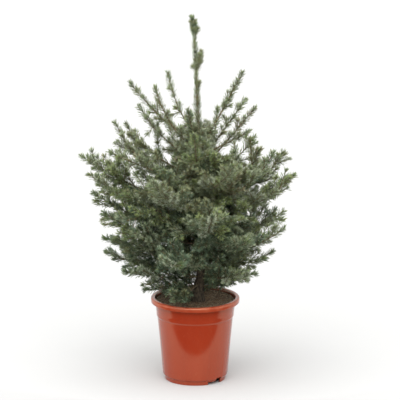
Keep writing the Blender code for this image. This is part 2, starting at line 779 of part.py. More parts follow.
def main():
    """Build the pot, the soil, the trunk, and every bough with its foliage."""
    clear_scene()
    plant = new_collection("potted_spruce")
    cutters = new_collection("cutters")
    plastic = finish("terracotta_plastic", (0.42, 0.10, 0.05), 0.30)
    peat = finish("peat", (0.045, 0.030, 0.020), 0.95)
    bark = finish("bark", (0.070, 0.050, 0.035), 0.90)
    needles = finish("needles", (0.110, 0.150, 0.090), 0.60)
    build_pot(plant, cutters, plastic)
    build_soil(plant, peat)
    build_trunk(plant, bark)
    clearance = trunk_tube("trunk_clearance", GAP, CUTTER_DROP, cutters)
    boughs = [*BOUGHS, *ring_boughs()]
    axes = [Axis(bough) for bough in boughs]
    spaces = Spaces(axes)
    for index, (bough, axis) in enumerate(zip(boughs, axes)):
        if bough.limb:
            build_limb(bough, axis, clearance, plant, bark)
        build_foliage(bough, index, axis, spaces, clearance, plant, needles)
    build_leader(spaces, clearance, plant, needles)
    for cutter in cutters.objects:
        cutter.hide_render = True
        cutter.display_type = "WIRE"


main()
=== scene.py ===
"""Looks of a young potted spruce: its pot, soil, bark, twigs, buds and needles, and the studio round it.

Units are metres, +Z is up, and the origin is the centre of the pot's underside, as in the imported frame.
Every piece is a closed surface worked out with arrays, and every finish is a small class. A field with two
numbers is a range, or a value and what is added to it for each unit of what the code names.
"""

import dataclasses
import itertools
import logging
import math
from dataclasses import dataclass
from enum import Enum
from typing import Self

import bpy
import numpy as np
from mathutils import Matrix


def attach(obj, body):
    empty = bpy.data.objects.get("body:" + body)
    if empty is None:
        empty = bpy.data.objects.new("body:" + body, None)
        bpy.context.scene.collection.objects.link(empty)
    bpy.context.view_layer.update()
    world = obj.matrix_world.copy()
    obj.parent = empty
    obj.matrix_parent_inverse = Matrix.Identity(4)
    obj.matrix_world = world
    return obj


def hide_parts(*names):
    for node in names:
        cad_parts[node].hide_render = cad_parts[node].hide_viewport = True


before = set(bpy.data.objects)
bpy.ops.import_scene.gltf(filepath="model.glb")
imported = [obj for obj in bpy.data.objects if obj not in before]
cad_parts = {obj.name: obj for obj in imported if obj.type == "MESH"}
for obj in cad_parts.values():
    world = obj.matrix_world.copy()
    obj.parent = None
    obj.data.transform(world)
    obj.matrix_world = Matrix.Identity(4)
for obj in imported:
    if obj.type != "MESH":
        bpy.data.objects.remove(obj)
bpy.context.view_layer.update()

log = logging.getLogger("potted_spruce")

Array = np.ndarray
Tone = tuple[float, float, float]
Place = tuple[float, float, float]
Socket = bpy.types.NodeSocket
Piece = bpy.types.Object
Material = bpy.types.Material
Dice = np.random.Generator

BODY = "root"
UP = np.array([0.0, 0.0, 1.0])
GOLDEN_ANGLE = math.radians(137.5)
VIEW_RISE = math.radians(15.0)
TINY = 1e-9
MILLIMETRES = 1000.0
# How far out of the trunk's axis a shoot from it starts, as a share of the radius
ROOTED = 0.5
# Large odd numbers that turn a cell's place and a seed into a random value
SCATTER = (73856093, 19349663, 83492791, 2654435761, 1274126177)


# Arrays and noise


def unit(vectors: Array) -> Array:
    """The same vectors at length one."""
    return vectors / np.maximum(np.linalg.norm(vectors, axis=-1, keepdims=True), TINY)


def ease(values: Array) -> Array:
    """Smoothstep of the values held between 0 and 1: three times the square less twice the cube."""
    held = np.clip(values, 0.0, 1.0)
    return held * held * (3.0 - 2.0 * held)


def ramp(values: Array, low: float, high: float) -> Array:
    """The smoothstep of the share of the way from low to high."""
    return ease((values - low) / (high - low))


def hill(values: Array) -> Array:
    """A bell that is 1 at 0 and falls off as the exponential of the negative square."""
    return np.exp(-np.square(values))


def blend(first: Array | float, second: Array | float, share: Array | float) -> Array:
    """The first at a share of 0, the second at 1, and their weighted mean between."""
    return first * (1.0 - share) + second * share


def plus(pair: tuple[float, float], amount: Array) -> Array:
    """The pair's first number, and its second times the amount."""
    return pair[0] + pair[1] * amount


def between(first: Array, second: Array, angle: Array) -> Array:
    """The directions at an angle from the first towards the second, by its cosine and sine."""
    return first * np.cos(angle)[..., None] + second * np.sin(angle)[..., None]


def spokes(azimuth: Array, rise: Array | float = 0.0) -> Array:
    """Directions of level length one at the azimuths, each with its rise."""
    return np.stack([np.cos(azimuth), np.sin(azimuth), rise + 0.0 * azimuth], axis=-1)


def ring_angles(count: int) -> Array:
    """The angles of evenly spaced points round a circle."""
    return np.linspace(0.0, math.tau, count, endpoint=False)


def dealt(counts: Array) -> tuple[Array, Array]:
    """For each of many items its owner's number and its rank there, by how many each owner has."""
    which = np.repeat(np.arange(len(counts)), counts)
    return which, np.arange(len(which)) - np.repeat(np.cumsum(counts) - counts, counts)


def speckle(places: Array, seed: int) -> Array:
    """Smooth noise: random values at the corners of unit cubes, blended by the smoothstep inside each cube.

    Args:
        places: points, in the noise's own units, in the last axis.
        seed: a whole number that picks the pattern.

    Returns:
        One value from 0 to 1 for each point.
    """
    cell = np.floor(places).astype(np.int64)
    share = ease(places - cell)
    total = np.zeros(places.shape[:-1])
    for corner in itertools.product((0, 1), repeat=3):
        x, y, z = np.moveaxis(cell + corner, -1, 0)
        mixed = (x * SCATTER[0]) ^ (y * SCATTER[1]) ^ (z * SCATTER[2]) ^ (seed * SCATTER[3])
        mixed = ((mixed ^ (mixed >> 13)) * SCATTER[4]) & 0x7FFFFFFF
        mixed = (mixed ^ (mixed >> 15)) & 0xFFFF
        weight = np.prod(np.where(corner, share, 1.0 - share), axis=-1)
        total += weight * mixed / 0xFFFF
    return total


def layered(places: Array, seed: int, layers: int = 3) -> Array:
    """Noise in layers, each twice as fine and half as strong as the one before.

    Args:
        places: points, in the noise's own units, in the last axis.
        seed: the seed of the first layer.
        layers: how many there are.

    Returns:
        One value from 0 to 1 for each point.
    """
    weights = 0.5 ** np.arange(layers)
    parts = [weight * speckle(places * 2.0**step, seed + step) for step, weight in enumerate(weights)]
    return sum(parts) / weights.sum()


# Shapes as arrays


def linked(name: str, data: bpy.types.ID) -> Piece:
    """Add an object to the scene, at the origin.

    Args:
        name: its name.
        data: its mesh, camera or light.

    Returns:
        The new object.
    """
    made = bpy.data.objects.new(name, data)
    bpy.context.scene.collection.objects.link(made)
    return made


@dataclass
class Shape:
    """Points and faces of one or many closed shapes, kept as arrays until they become one piece.

    Attributes:
        points: one row for each point.
        quads: four point numbers for each four-sided face.
        triangles: three point numbers for each three-sided face.
    """

    points: Array
    quads: Array
    triangles: Array = dataclasses.field(default_factory=lambda: np.empty((0, 3), int))

    @staticmethod
    def copies(cages: Array, faces: Array) -> "Shape":
        """Many small shapes with the same three-sided faces.

        Args:
            cages: the points of each copy, as (copies, points, 3).
            faces: the faces of one copy, as (faces, 3).

        Returns:
            One shape that holds every copy.
        """
        count, size = cages.shape[:2]
        shifts = (np.arange(count) * size)[:, None, None]
        return Shape(cages.reshape(-1, 3), np.empty((0, 4), int), (faces[None] + shifts).reshape(-1, 3))

    def mesh(self, name: str) -> bpy.types.Mesh:
        """The shape as a Blender mesh.

        Args:
            name: the mesh's name.

        Returns:
            The new mesh, its faces shaded smooth.
        """
        corners = np.concatenate([self.quads.ravel(), self.triangles.ravel()]).astype(np.int32)
        quad_starts = 4 * np.arange(len(self.quads))
        triangle_starts = 4 * len(self.quads) + 3 * np.arange(len(self.triangles))
        starts = np.concatenate([quad_starts, triangle_starts]).astype(np.int32)
        made = bpy.data.meshes.new(name)
        made.vertices.add(len(self.points))
        made.vertices.foreach_set("co", self.points.astype(np.float32).ravel())
        made.loops.add(len(corners))
        made.loops.foreach_set("vertex_index", corners)
        made.polygons.add(len(starts))
        made.polygons.foreach_set("loop_start", starts)
        made.update(calc_edges=True)
        made.shade_smooth()
        return made

    def piece(self, name: str, material: Material, crease: float | None = None) -> Piece:
        """The shape as a piece of the object, at the origin, with its material.

        Args:
            name: the piece's name.
            material: its finish.
            crease: the angle in degrees above which an edge stays sharp, or None for smooth all over.

        Returns:
            The new object.
        """
        made = linked(name, self.mesh(name))
        made.data.materials.append(material)
        if crease is not None:
            made.data.set_sharp_from_angle(angle=math.radians(crease))
        return made


def skins(rings: Array, first: Array, last: Array) -> Shape:
    """Closed skins through rings of points, each closed by a fan at its first and at its last point.

    Args:
        rings: points as (shapes, rings, sides, 3), counter-clockwise seen from the last point.
        first: the point that closes each skin below its first ring, as (shapes, 3).
        last: the point that closes each skin past its last ring, as (shapes, 3).

    Returns:
        All the skins as one shape, faces outward.
    """
    count, rows, sides = rings.shape[:3]
    points = np.concatenate([first[:, None], rings.reshape(count, rows * sides, 3), last[:, None]], axis=1)
    row, side = np.meshgrid(np.arange(rows - 1), np.arange(sides), indexing="ij")
    here = 1 + row * sides + side
    beside = 1 + row * sides + (side + 1) % sides
    quads = np.stack([here, beside, beside + sides, here + sides], axis=-1).reshape(-1, 4)
    turn = np.arange(sides)
    following = (turn + 1) % sides
    end = 1 + (rows - 1) * sides
    foot = np.stack([0 * turn, 1 + following, 1 + turn], axis=-1)
    head = np.stack([0 * turn + end + sides, end + turn, end + following], axis=-1)
    shifts = (np.arange(count) * points.shape[1])[:, None, None]
    return Shape(
        points.reshape(-1, 3),
        (quads[None] + shifts).reshape(-1, 4),
        (np.concatenate([foot, head])[None] + shifts).reshape(-1, 3),
    )


def tubes(paths: Array, radii: Array, sides: int) -> Shape:
    """Round limbs along paths: each ring is the path's point plus its radius round the direction of travel.

    Args:
        paths: points along each limb, as (limbs, points, 3).
        radii: the radius at each point, as (limbs, points) or (limbs, points, sides).
        sides: how many sides a limb has.

    Returns:
        All the limbs as one shape, with a short dome at each end.
    """
    steep, dome = 0.94, 0.5
    along = unit(np.gradient(paths, axis=1))
    reference = np.where(np.abs(along[..., 2:]) > steep, [1.0, 0.0, 0.0], UP)
    across = unit(np.cross(reference, along))
    other = np.cross(along, across)
    outward = between(across[:, :, None], other[:, :, None], ring_angles(sides))
    if radii.ndim == 2:
        radii = np.repeat(radii[..., None], sides, axis=2)
    rings = paths[:, :, None] + outward * radii[..., None]
    first = paths[:, 0] - along[:, 0] * radii[:, 0, :1] * dome
    last = paths[:, -1] + along[:, -1] * radii[:, -1, :1] * dome
    return skins(rings, first, last)


def turned(profile: Array, azimuths: Array, swell: Array | float = 0.0) -> Shape:
    """A turned surface: the profile's radius, plus a swell, carried round the upright axis.

    Args:
        profile: (radius, height) rows from one point on the axis to another, outside first.
        azimuths: the angles of the rings' points, in order.
        swell: what is added to the radius, as (rows - 2, azimuths), or one number.

    Returns:
        The closed surface, faces outward.
    """
    inner = profile[1:-1]
    radii = inner[:, :1] + swell
    shape = (len(inner), len(azimuths))
    rings = np.stack(
        [radii * np.cos(azimuths), radii * np.sin(azimuths), np.broadcast_to(inner[:, 1:], shape)], axis=-1
    )
    ends = np.array([[0.0, 0.0, profile[0, 1]], [0.0, 0.0, profile[-1, 1]]])
    return skins(rings[None], ends[:1], ends[1:])


def rounded(corners: list[tuple[float, float, float]], steps: int = 4) -> Array:
    """An outline whose corners are replaced by quadratic Bezier arcs that start and end a radius away.

    Args:
        corners: (radius from the axis, height, rounding) of each corner.
        steps: how many points an arc has.

    Returns:
        The outline's points, one row each, ends included.
    """
    most = 0.48
    places = np.array([corner[:2] for corner in corners])
    outline = [places[:1]]
    shares = np.linspace(0.0, 1.0, steps)[:, None]
    for before, place, after, corner in zip(places, places[1:], places[2:], corners[1:]):
        back, ahead = before - place, after - place
        start = place + back * min(corner[2] / np.hypot(*back), most)
        end = place + ahead * min(corner[2] / np.hypot(*ahead), most)
        rest = 1.0 - shares
        outline.append(start * rest**2 + place * 2.0 * rest * shares + end * shares**2)
    return np.concatenate([*outline, places[-1:]])


def refined(outline: Array, pitch: float) -> Array:
    """The outline with points added on its long stretches.

    Args:
        outline: its points, one row each.
        pitch: the most that two of them may lie apart.

    Returns:
        The points, old and new.
    """
    pieces = []
    for start, end in zip(outline, outline[1:]):
        count = max(1, math.ceil(np.hypot(*(end - start)) / pitch))
        pieces.append(start + (end - start) * (np.arange(count) / count)[:, None])
    return np.concatenate([*pieces, outline[-1:]])


def cut_box(obj: Piece, azimuth: float, centre: Place, size: Place) -> None:
    """Cut a box out of a piece with an applied Boolean.

    Args:
        obj: the piece.
        azimuth: how far the box is turned about the upright axis, in radians.
        centre: the box's centre before it is turned.
        size: its size along its own axes.
    """
    corners = np.array(list(itertools.product((-0.5, 0.5), repeat=3))) * size + centre
    cosine, sine = math.cos(azimuth), math.sin(azimuth)
    corners = corners @ np.array([[cosine, sine, 0.0], [-sine, cosine, 0.0], [0.0, 0.0, 1.0]])
    faces = np.array([[0, 1, 3, 2], [4, 6, 7, 5], [0, 4, 5, 1], [2, 3, 7, 6], [0, 2, 6, 4], [1, 5, 7, 3]])
    tool = linked("cutter", Shape(corners, faces).mesh("cutter"))
    step = obj.modifiers.new("cut", "BOOLEAN")
    step.operation = "DIFFERENCE"
    step.solver = "MANIFOLD"
    step.object = tool
    bpy.context.view_layer.update()
    graph = bpy.context.evaluated_depsgraph_get()
    cut = bpy.data.meshes.new_from_object(obj.evaluated_get(graph))
    obj.modifiers.clear()
    obj.data = cut
    bpy.data.objects.remove(tool)


# Finishes


def linear(tone: Tone) -> tuple[float, float, float, float]:
    """A screen tone as the linear colour that a shader takes, by the usual screen curve.

    Args:
        tone: red, green and blue from 0 to 255.

    Returns:
        The colour, opaque.
    """
    shares = np.array(tone) / 255.0
    bright = ((shares + 0.055) / 1.055) ** 2.4
    return (*np.where(shares <= 0.04045, shares / 12.92, bright), 1.0)


class Paint:
    """A node material under way: one Principled shader and the patterns that feed it."""

    def __init__(self, name: str) -> None:
        """Start a material on Object coordinates.

        Args:
            name: the material's name.
        """
        self.material = bpy.data.materials.new(name)
        self.material.use_nodes = True
        self.tree = self.material.node_tree
        self.shader = self.tree.nodes["Principled BSDF"]
        self.place = self.tree.nodes.new("ShaderNodeTexCoord").outputs["Object"]

    def hold(self, name: str, value: float | tuple) -> None:
        """Set one of the shader's own sockets to a constant."""
        self.shader.inputs[name].default_value = value

    def feed(self, name: str, source: Socket) -> None:
        """Drive one of the shader's sockets by a pattern."""
        self.tree.links.new(source, self.shader.inputs[name])

    def node(self, kind: str, output: str | int, inputs: dict, **options: str) -> Socket:
        """Add one node of a pattern.

        Args:
            kind: the node's type, without the words that all have.
            output: the name or number of the output that is used.
            inputs: what each input takes, a constant or another node's output.
            options: the node's own settings.

        Returns:
            The output.
        """
        made = self.tree.nodes.new(f"ShaderNode{kind}")
        for name, value in options.items():
            setattr(made, name, value)
        for name, value in inputs.items():
            if isinstance(value, Socket):
                self.tree.links.new(value, made.inputs[name])
            else:
                made.inputs[name].default_value = value
        return made.outputs[output]

    def stretched(self, *scale: float) -> Socket:
        """The place with each axis scaled, so that a pattern on it is drawn out."""
        return self.node("Mapping", "Vector", {"Scale": scale, "Vector": self.place})

    def noise(self, scale: float, detail: float = 3.0, place: Socket | None = None) -> Socket:
        """Cloudy noise from 0 to 1, with so many features to a metre and so many finer layers."""
        return self.node("TexNoise", "Fac", {"Scale": scale, "Detail": detail, "Vector": place or self.place})

    def cells(self, scale: float, place: Socket | None = None) -> Socket:
        """Distance to the nearest of scattered points, so many to a metre, which gives scales or grains."""
        return self.node("TexVoronoi", "Distance", {"Scale": scale, "Vector": place or self.place})

    def height(self) -> Socket:
        """The place's height in metres."""
        return self.node("SeparateXYZ", "Z", {"Vector": self.place})

    def reach(self) -> Socket:
        """The place's distance from the upright axis, in metres."""
        return self.node("VectorMath", "Value", {0: self.stretched(1.0, 1.0, 0.0)}, operation="LENGTH")

    def span(self, value: Socket, low: float, high: float, at_low: float, at_high: float) -> Socket:
        """The value carried from the range of low and high to that of at_low and at_high, and held inside."""
        ends = {"From Min": low, "From Max": high, "To Min": at_low, "To Max": at_high}
        return self.node("MapRange", "Result", {**ends, "Value": value})

    def product(self, first: Socket, second: Socket) -> Socket:
        """Two values multiplied."""
        return self.node("Math", "Value", {0: first, 1: second}, operation="MULTIPLY")

    def over(self, factor: Socket, below: Socket, tone: Tone) -> Socket:
        """A colour with a plain tone laid over it by a factor."""
        return self.node("Mix", 2, {0: factor, 6: below, 7: linear(tone)}, data_type="RGBA")

    def relief(self, height: Socket, depth: float, strength: float = 1.0) -> None:
        """Bump the surface by a pattern from 0 to 1, over a depth in metres."""
        inputs = {"Distance": depth, "Strength": strength, "Height": height}
        self.feed("Normal", self.node("Bump", "Normal", inputs))

    def tones(self, factor: Socket, stops: list[tuple[float, Tone]]) -> Socket:
        """A colour ramp.

        Args:
            factor: the value that is looked up.
            stops: (position, tone) rows in order.

        Returns:
            The colour.
        """
        colour = self.node("ValToRGB", "Color", {"Fac": factor})
        elements = colour.node.color_ramp.elements
        while len(elements) < len(stops):
            elements.new(0.5)
        for stop, (position, tone) in zip(elements, stops):
            stop.position = position
            stop.color = linear(tone)
        return colour


@dataclass(frozen=True)
class PotPlastic:
    """Glossy moulded plastic in terracotta, paler where handling has dulled the lip, and peaty inside."""

    deep: Tone = (139, 45, 24)
    body: Tone = (145, 50, 27)
    dusty: Tone = (170, 90, 62)
    peaty: Tone = (92, 62, 46)
    streaks: float = 26.0
    streak_stretch: float = 0.18
    specks: float = 420.0
    speck_share: float = 0.28
    lip_z: tuple = (0.168, 0.178)
    wear: float = 70.0
    wear_share: float = 0.75
    wall_radius: tuple = (0.0862, 0.0868)
    bed_z: tuple = (0.166, 0.168)
    dust: float = 110.0
    gloss: float = 55.0
    roughness: tuple = (0.10, 0.17)
    refraction: float = 1.60
    gloss_tint: tuple = (1.0, 0.95, 0.66, 1.0)
    grain: float = 160.0
    grain_depth: float = 0.00003
    grain_strength: float = 0.4

    def material(self) -> Material:
        """The finish as a material.

        Returns:
            Streaks and pale specks, dulled at the lip, with peat dust above the bed inside.
        """
        paint = Paint("pot_plastic")
        streaks = paint.noise(self.streaks, 3.0, paint.stretched(1.0, 1.0, self.streak_stretch))
        colour = paint.tones(streaks, [(0.30, self.deep), (0.72, self.body)])
        specks = paint.span(paint.noise(self.specks, 5.0), 0.60, 0.78, 0.0, self.speck_share)
        colour = paint.over(specks, colour, self.dusty)
        near_lip = paint.span(paint.height(), *self.lip_z, 0.0, self.wear_share)
        worn = paint.product(near_lip, paint.span(paint.noise(self.wear, 4.0), 0.35, 0.7, 0.2, 1.0))
        colour = paint.over(worn, colour, self.dusty)
        inside = paint.span(paint.reach(), *self.wall_radius, 1.0, 0.0)
        above_bed = paint.span(paint.height(), *self.bed_z, 0.0, 1.0)
        dust = paint.product(above_bed, paint.span(paint.noise(self.dust, 4.0), 0.35, 0.65, 0.35, 0.95))
        dust = paint.product(inside, dust)
        paint.feed("Base Color", paint.over(dust, colour, self.peaty))
        paint.feed("Roughness", paint.span(paint.noise(self.gloss, 4.0), 0.3, 0.7, *self.roughness))
        paint.hold("IOR", self.refraction)
        paint.hold("Specular Tint", self.gloss_tint)
        paint.relief(paint.noise(self.grain, 2.0), self.grain_depth, self.grain_strength)
        return paint.material


@dataclass(frozen=True)
class Peat:
    """Moist potting peat: dark brown, with lighter fibres and black grains."""

    black: Tone = (58, 50, 41)
    brown: Tone = (112, 97, 78)
    fibre: Tone = (158, 140, 114)
    grain: float = 260.0
    lumps: float = 700.0
    lump_depth: float = 0.0006
    roughness: float = 0.95
    specular: float = 0.25

    def material(self) -> Material:
        """The finish as a material.

        Returns:
            Noise through the three tones, over small lumps.
        """
        paint = Paint("peat")
        stops = [(0.30, self.black), (0.50, self.brown), (0.68, self.fibre)]
        paint.feed("Base Color", paint.tones(paint.noise(self.grain, 6.0), stops))
        paint.hold("Roughness", self.roughness)
        paint.hold("Specular IOR Level", self.specular)
        paint.relief(paint.cells(self.lumps), self.lump_depth)
        return paint.material


@dataclass(frozen=True)
class Bark:
    """Thin scaly bark: grey-brown scales with darker cracks between them, and paler young bark above."""

    name: str = "bark"
    crack: Tone = (34, 27, 21)
    scale: Tone = (78, 66, 52)
    pale: Tone = (112, 98, 80)
    young: Tone = (134, 122, 92)
    young_z: tuple = (0.44, 0.58)
    young_share: float = 0.8
    stretch: float = 0.4
    plates: float = 330.0
    mottle: float = 150.0
    crack_share: float = 0.7
    plate_depth: float = 0.0006
    roughness: float = 0.88
    specular: float = 0.3

    def material(self) -> Material:
        """The finish as a material.

        Returns:
            Mottled plates drawn out along the wood, younger above, with cracks between them.
        """
        paint = Paint(self.name)
        drawn_out = paint.stretched(1.0, 1.0, self.stretch)
        plates = paint.cells(self.plates, drawn_out)
        colour = paint.tones(paint.noise(self.mottle, 6.0, drawn_out), [(0.3, self.scale), (0.7, self.pale)])
        young = paint.span(paint.height(), *self.young_z, 0.0, self.young_share)
        colour = paint.over(young, colour, self.young)
        cracks = paint.span(plates, 0.35, 0.75, 0.0, self.crack_share)
        paint.feed("Base Color", paint.over(cracks, colour, self.crack))
        paint.hold("Roughness", self.roughness)
        paint.hold("Specular IOR Level", self.specular)
        paint.relief(paint.span(plates, 0.2, 0.8, 1.0, 0.0), self.plate_depth)
        return paint.material


@dataclass(frozen=True)
class PlainGrowth:
    """A finish for what is small and joined by the thousand: one plain tone, its gloss broken by noise."""

    name: str
    tone: Tone
    smoothest: float = 0.42
    roughest: float = 0.66
    specular: float = 0.4
    grain: float = 600.0

    def material(self) -> Material:
        """The finish as a material.

        Returns:
            The plain tone under an uneven gloss.
        """
        paint = Paint(self.name)
        paint.hold("Base Color", linear(self.tone))
        paint.hold("Specular IOR Level", self.specular)
        grain = paint.noise(self.grain, 2.0)
        paint.feed("Roughness", paint.span(grain, 0.3, 0.7, self.smoothest, self.roughest))
        return paint.material


class Shade(Enum):
    """The greens that a spray of needles can take, as screen tones."""

    DEEP = (60, 76, 50)
    FOREST = (84, 98, 68)
    GREY_GREEN = (114, 127, 95)
    SAGE = (138, 148, 117)
    BLUE_GREEN = (104, 124, 98)
    SILVER = (158, 166, 142)
    OLIVE = (128, 132, 94)
    MOSS = (104, 122, 76)
    FRESH = (132, 146, 90)
    FADED = (130, 124, 94)

    @property
    def label(self) -> str:
        """The shade's name in a piece's name."""
        return self.name.lower()

    @property
    def number(self) -> int:
        """The shade's place in the order."""
        return list(Shade).index(self)


@dataclass(frozen=True)
class Palette:
    """How often each shade is dealt to a spray, by where the spray grows.

    A row of weights, in hundredths, follows the order of Shade, and each spray's row is blended from these. A
    spot is a place in the view from the front, as x, height and radius, where one row all but takes over. The
    lit spots are painted light, and the shade spots painted shade.
    """

    inside: tuple = (29, 27, 11, 5, 16, 2, 5, 4, 0, 1)
    lower: tuple = (4, 13, 20, 18, 22, 11, 4, 5, 3, 0)
    upper: tuple = (0, 1, 13, 35, 2, 16, 17, 3, 12, 1)
    top: tuple = (0, 0, 6, 42, 0, 22, 16, 0, 8, 6)
    upper_z: tuple = (0.29, 0.43)
    top_z: tuple = (0.44, 0.54)
    outer_reach: tuple = (0.080, 0.135)
    fresh_patch: tuple = (0, 4, 10, 8, 0, 0, 20, 28, 30, 0)
    cool_patch: tuple = (10, 14, 18, 6, 34, 18, 0, 0, 0, 0)
    patch_pitch: float = 0.075
    patch_seeds: tuple = (71, 73)
    patch_share: float = 0.55
    patch_fade: tuple = (0.52, 0.68)
    patch_hidden: float = 0.4
    patch_heights: tuple = (0.25, 0.75)
    spot_share: float = 0.8
    # Pale shades that the lit spots lay on the sprays: painted light
    lit: tuple = (0, 0, 3, 28, 0, 24, 21, 0, 24, 0)
    fresh_spots: tuple = (
        (-0.164, 0.437, 0.034),
        (-0.149, 0.503, 0.026),
        (-0.209, 0.393, 0.026),
        (-0.149, 0.331, 0.020),
        (-0.107, 0.365, 0.014),
        (0.117, 0.525, 0.024),
    )
    # Painted light: where the lit row all but takes over, on the right and high on the left of the crown
    lit_spots: tuple = (
        (0.142, 0.410, 0.060),
        (0.096, 0.440, 0.035),
        (0.164, 0.350, 0.040),
        (0.130, 0.285, 0.040),
        (0.090, 0.250, 0.040),
        (-0.140, 0.540, 0.035),
    )
    cool_spots: tuple = ((-0.043, 0.283, 0.036), (0.021, 0.360, 0.026), (-0.096, 0.338, 0.028))
    # Painted shade: where the inside row's dark shades all but take over, on the shadowed lower middle of the
    # crown
    deep_spots: tuple = ((0.066, 0.330, 0.040), (0.020, 0.305, 0.042), (-0.040, 0.265, 0.028))

    def deal(self, places: Array, chances: Array) -> Array:
        """Deal one shade to each place.

        Args:
            places: points, one row each.
            chances: a random number from 0 to 1 for each place.

        Returns:
            The number of each place's shade, in the order of Shade.
        """
        height, top = (ramp(places[:, 2], *ends)[:, None] for ends in (self.upper_z, self.top_z))
        reach = np.hypot(places[:, 0], places[:, 1])[:, None]
        hidden = (1.0 - ramp(reach, *self.outer_reach)) * (1.0 - height)
        weights = blend(np.array(self.lower), np.array(self.upper), height)
        weights = blend(weights, np.array(self.top), top)
        weights = blend(weights, np.array(self.inside), hidden)
        patches = ((self.fresh_patch, height), (self.cool_patch, 1.0 - height))
        for seed, (patch, share) in zip(self.patch_seeds, patches):
            cloud = speckle(places / self.patch_pitch, seed)[:, None]
            amount = self.patch_share * ramp(cloud, *self.patch_fade) * (1.0 - self.patch_hidden * hidden)
            weights = blend(weights, np.array(patch), amount * plus(self.patch_heights, share))
        spots = (
            (self.fresh_spots, self.fresh_patch),
            (self.lit_spots, self.lit),
            (self.cool_spots, self.cool_patch),
            (self.deep_spots, self.inside),
        )
        for rows, patch in spots:
            for x, z, radius in rows:
                away = np.hypot(places[:, 0] - x, places[:, 2] - z) / radius
                weights = blend(weights, np.array(patch), self.spot_share * hill(away)[:, None])
        steps = np.cumsum(weights, axis=1) / weights.sum(axis=1, keepdims=True)
        return np.minimum((chances[:, None] > steps).sum(axis=1), len(Shade) - 1)


# Pot and soil


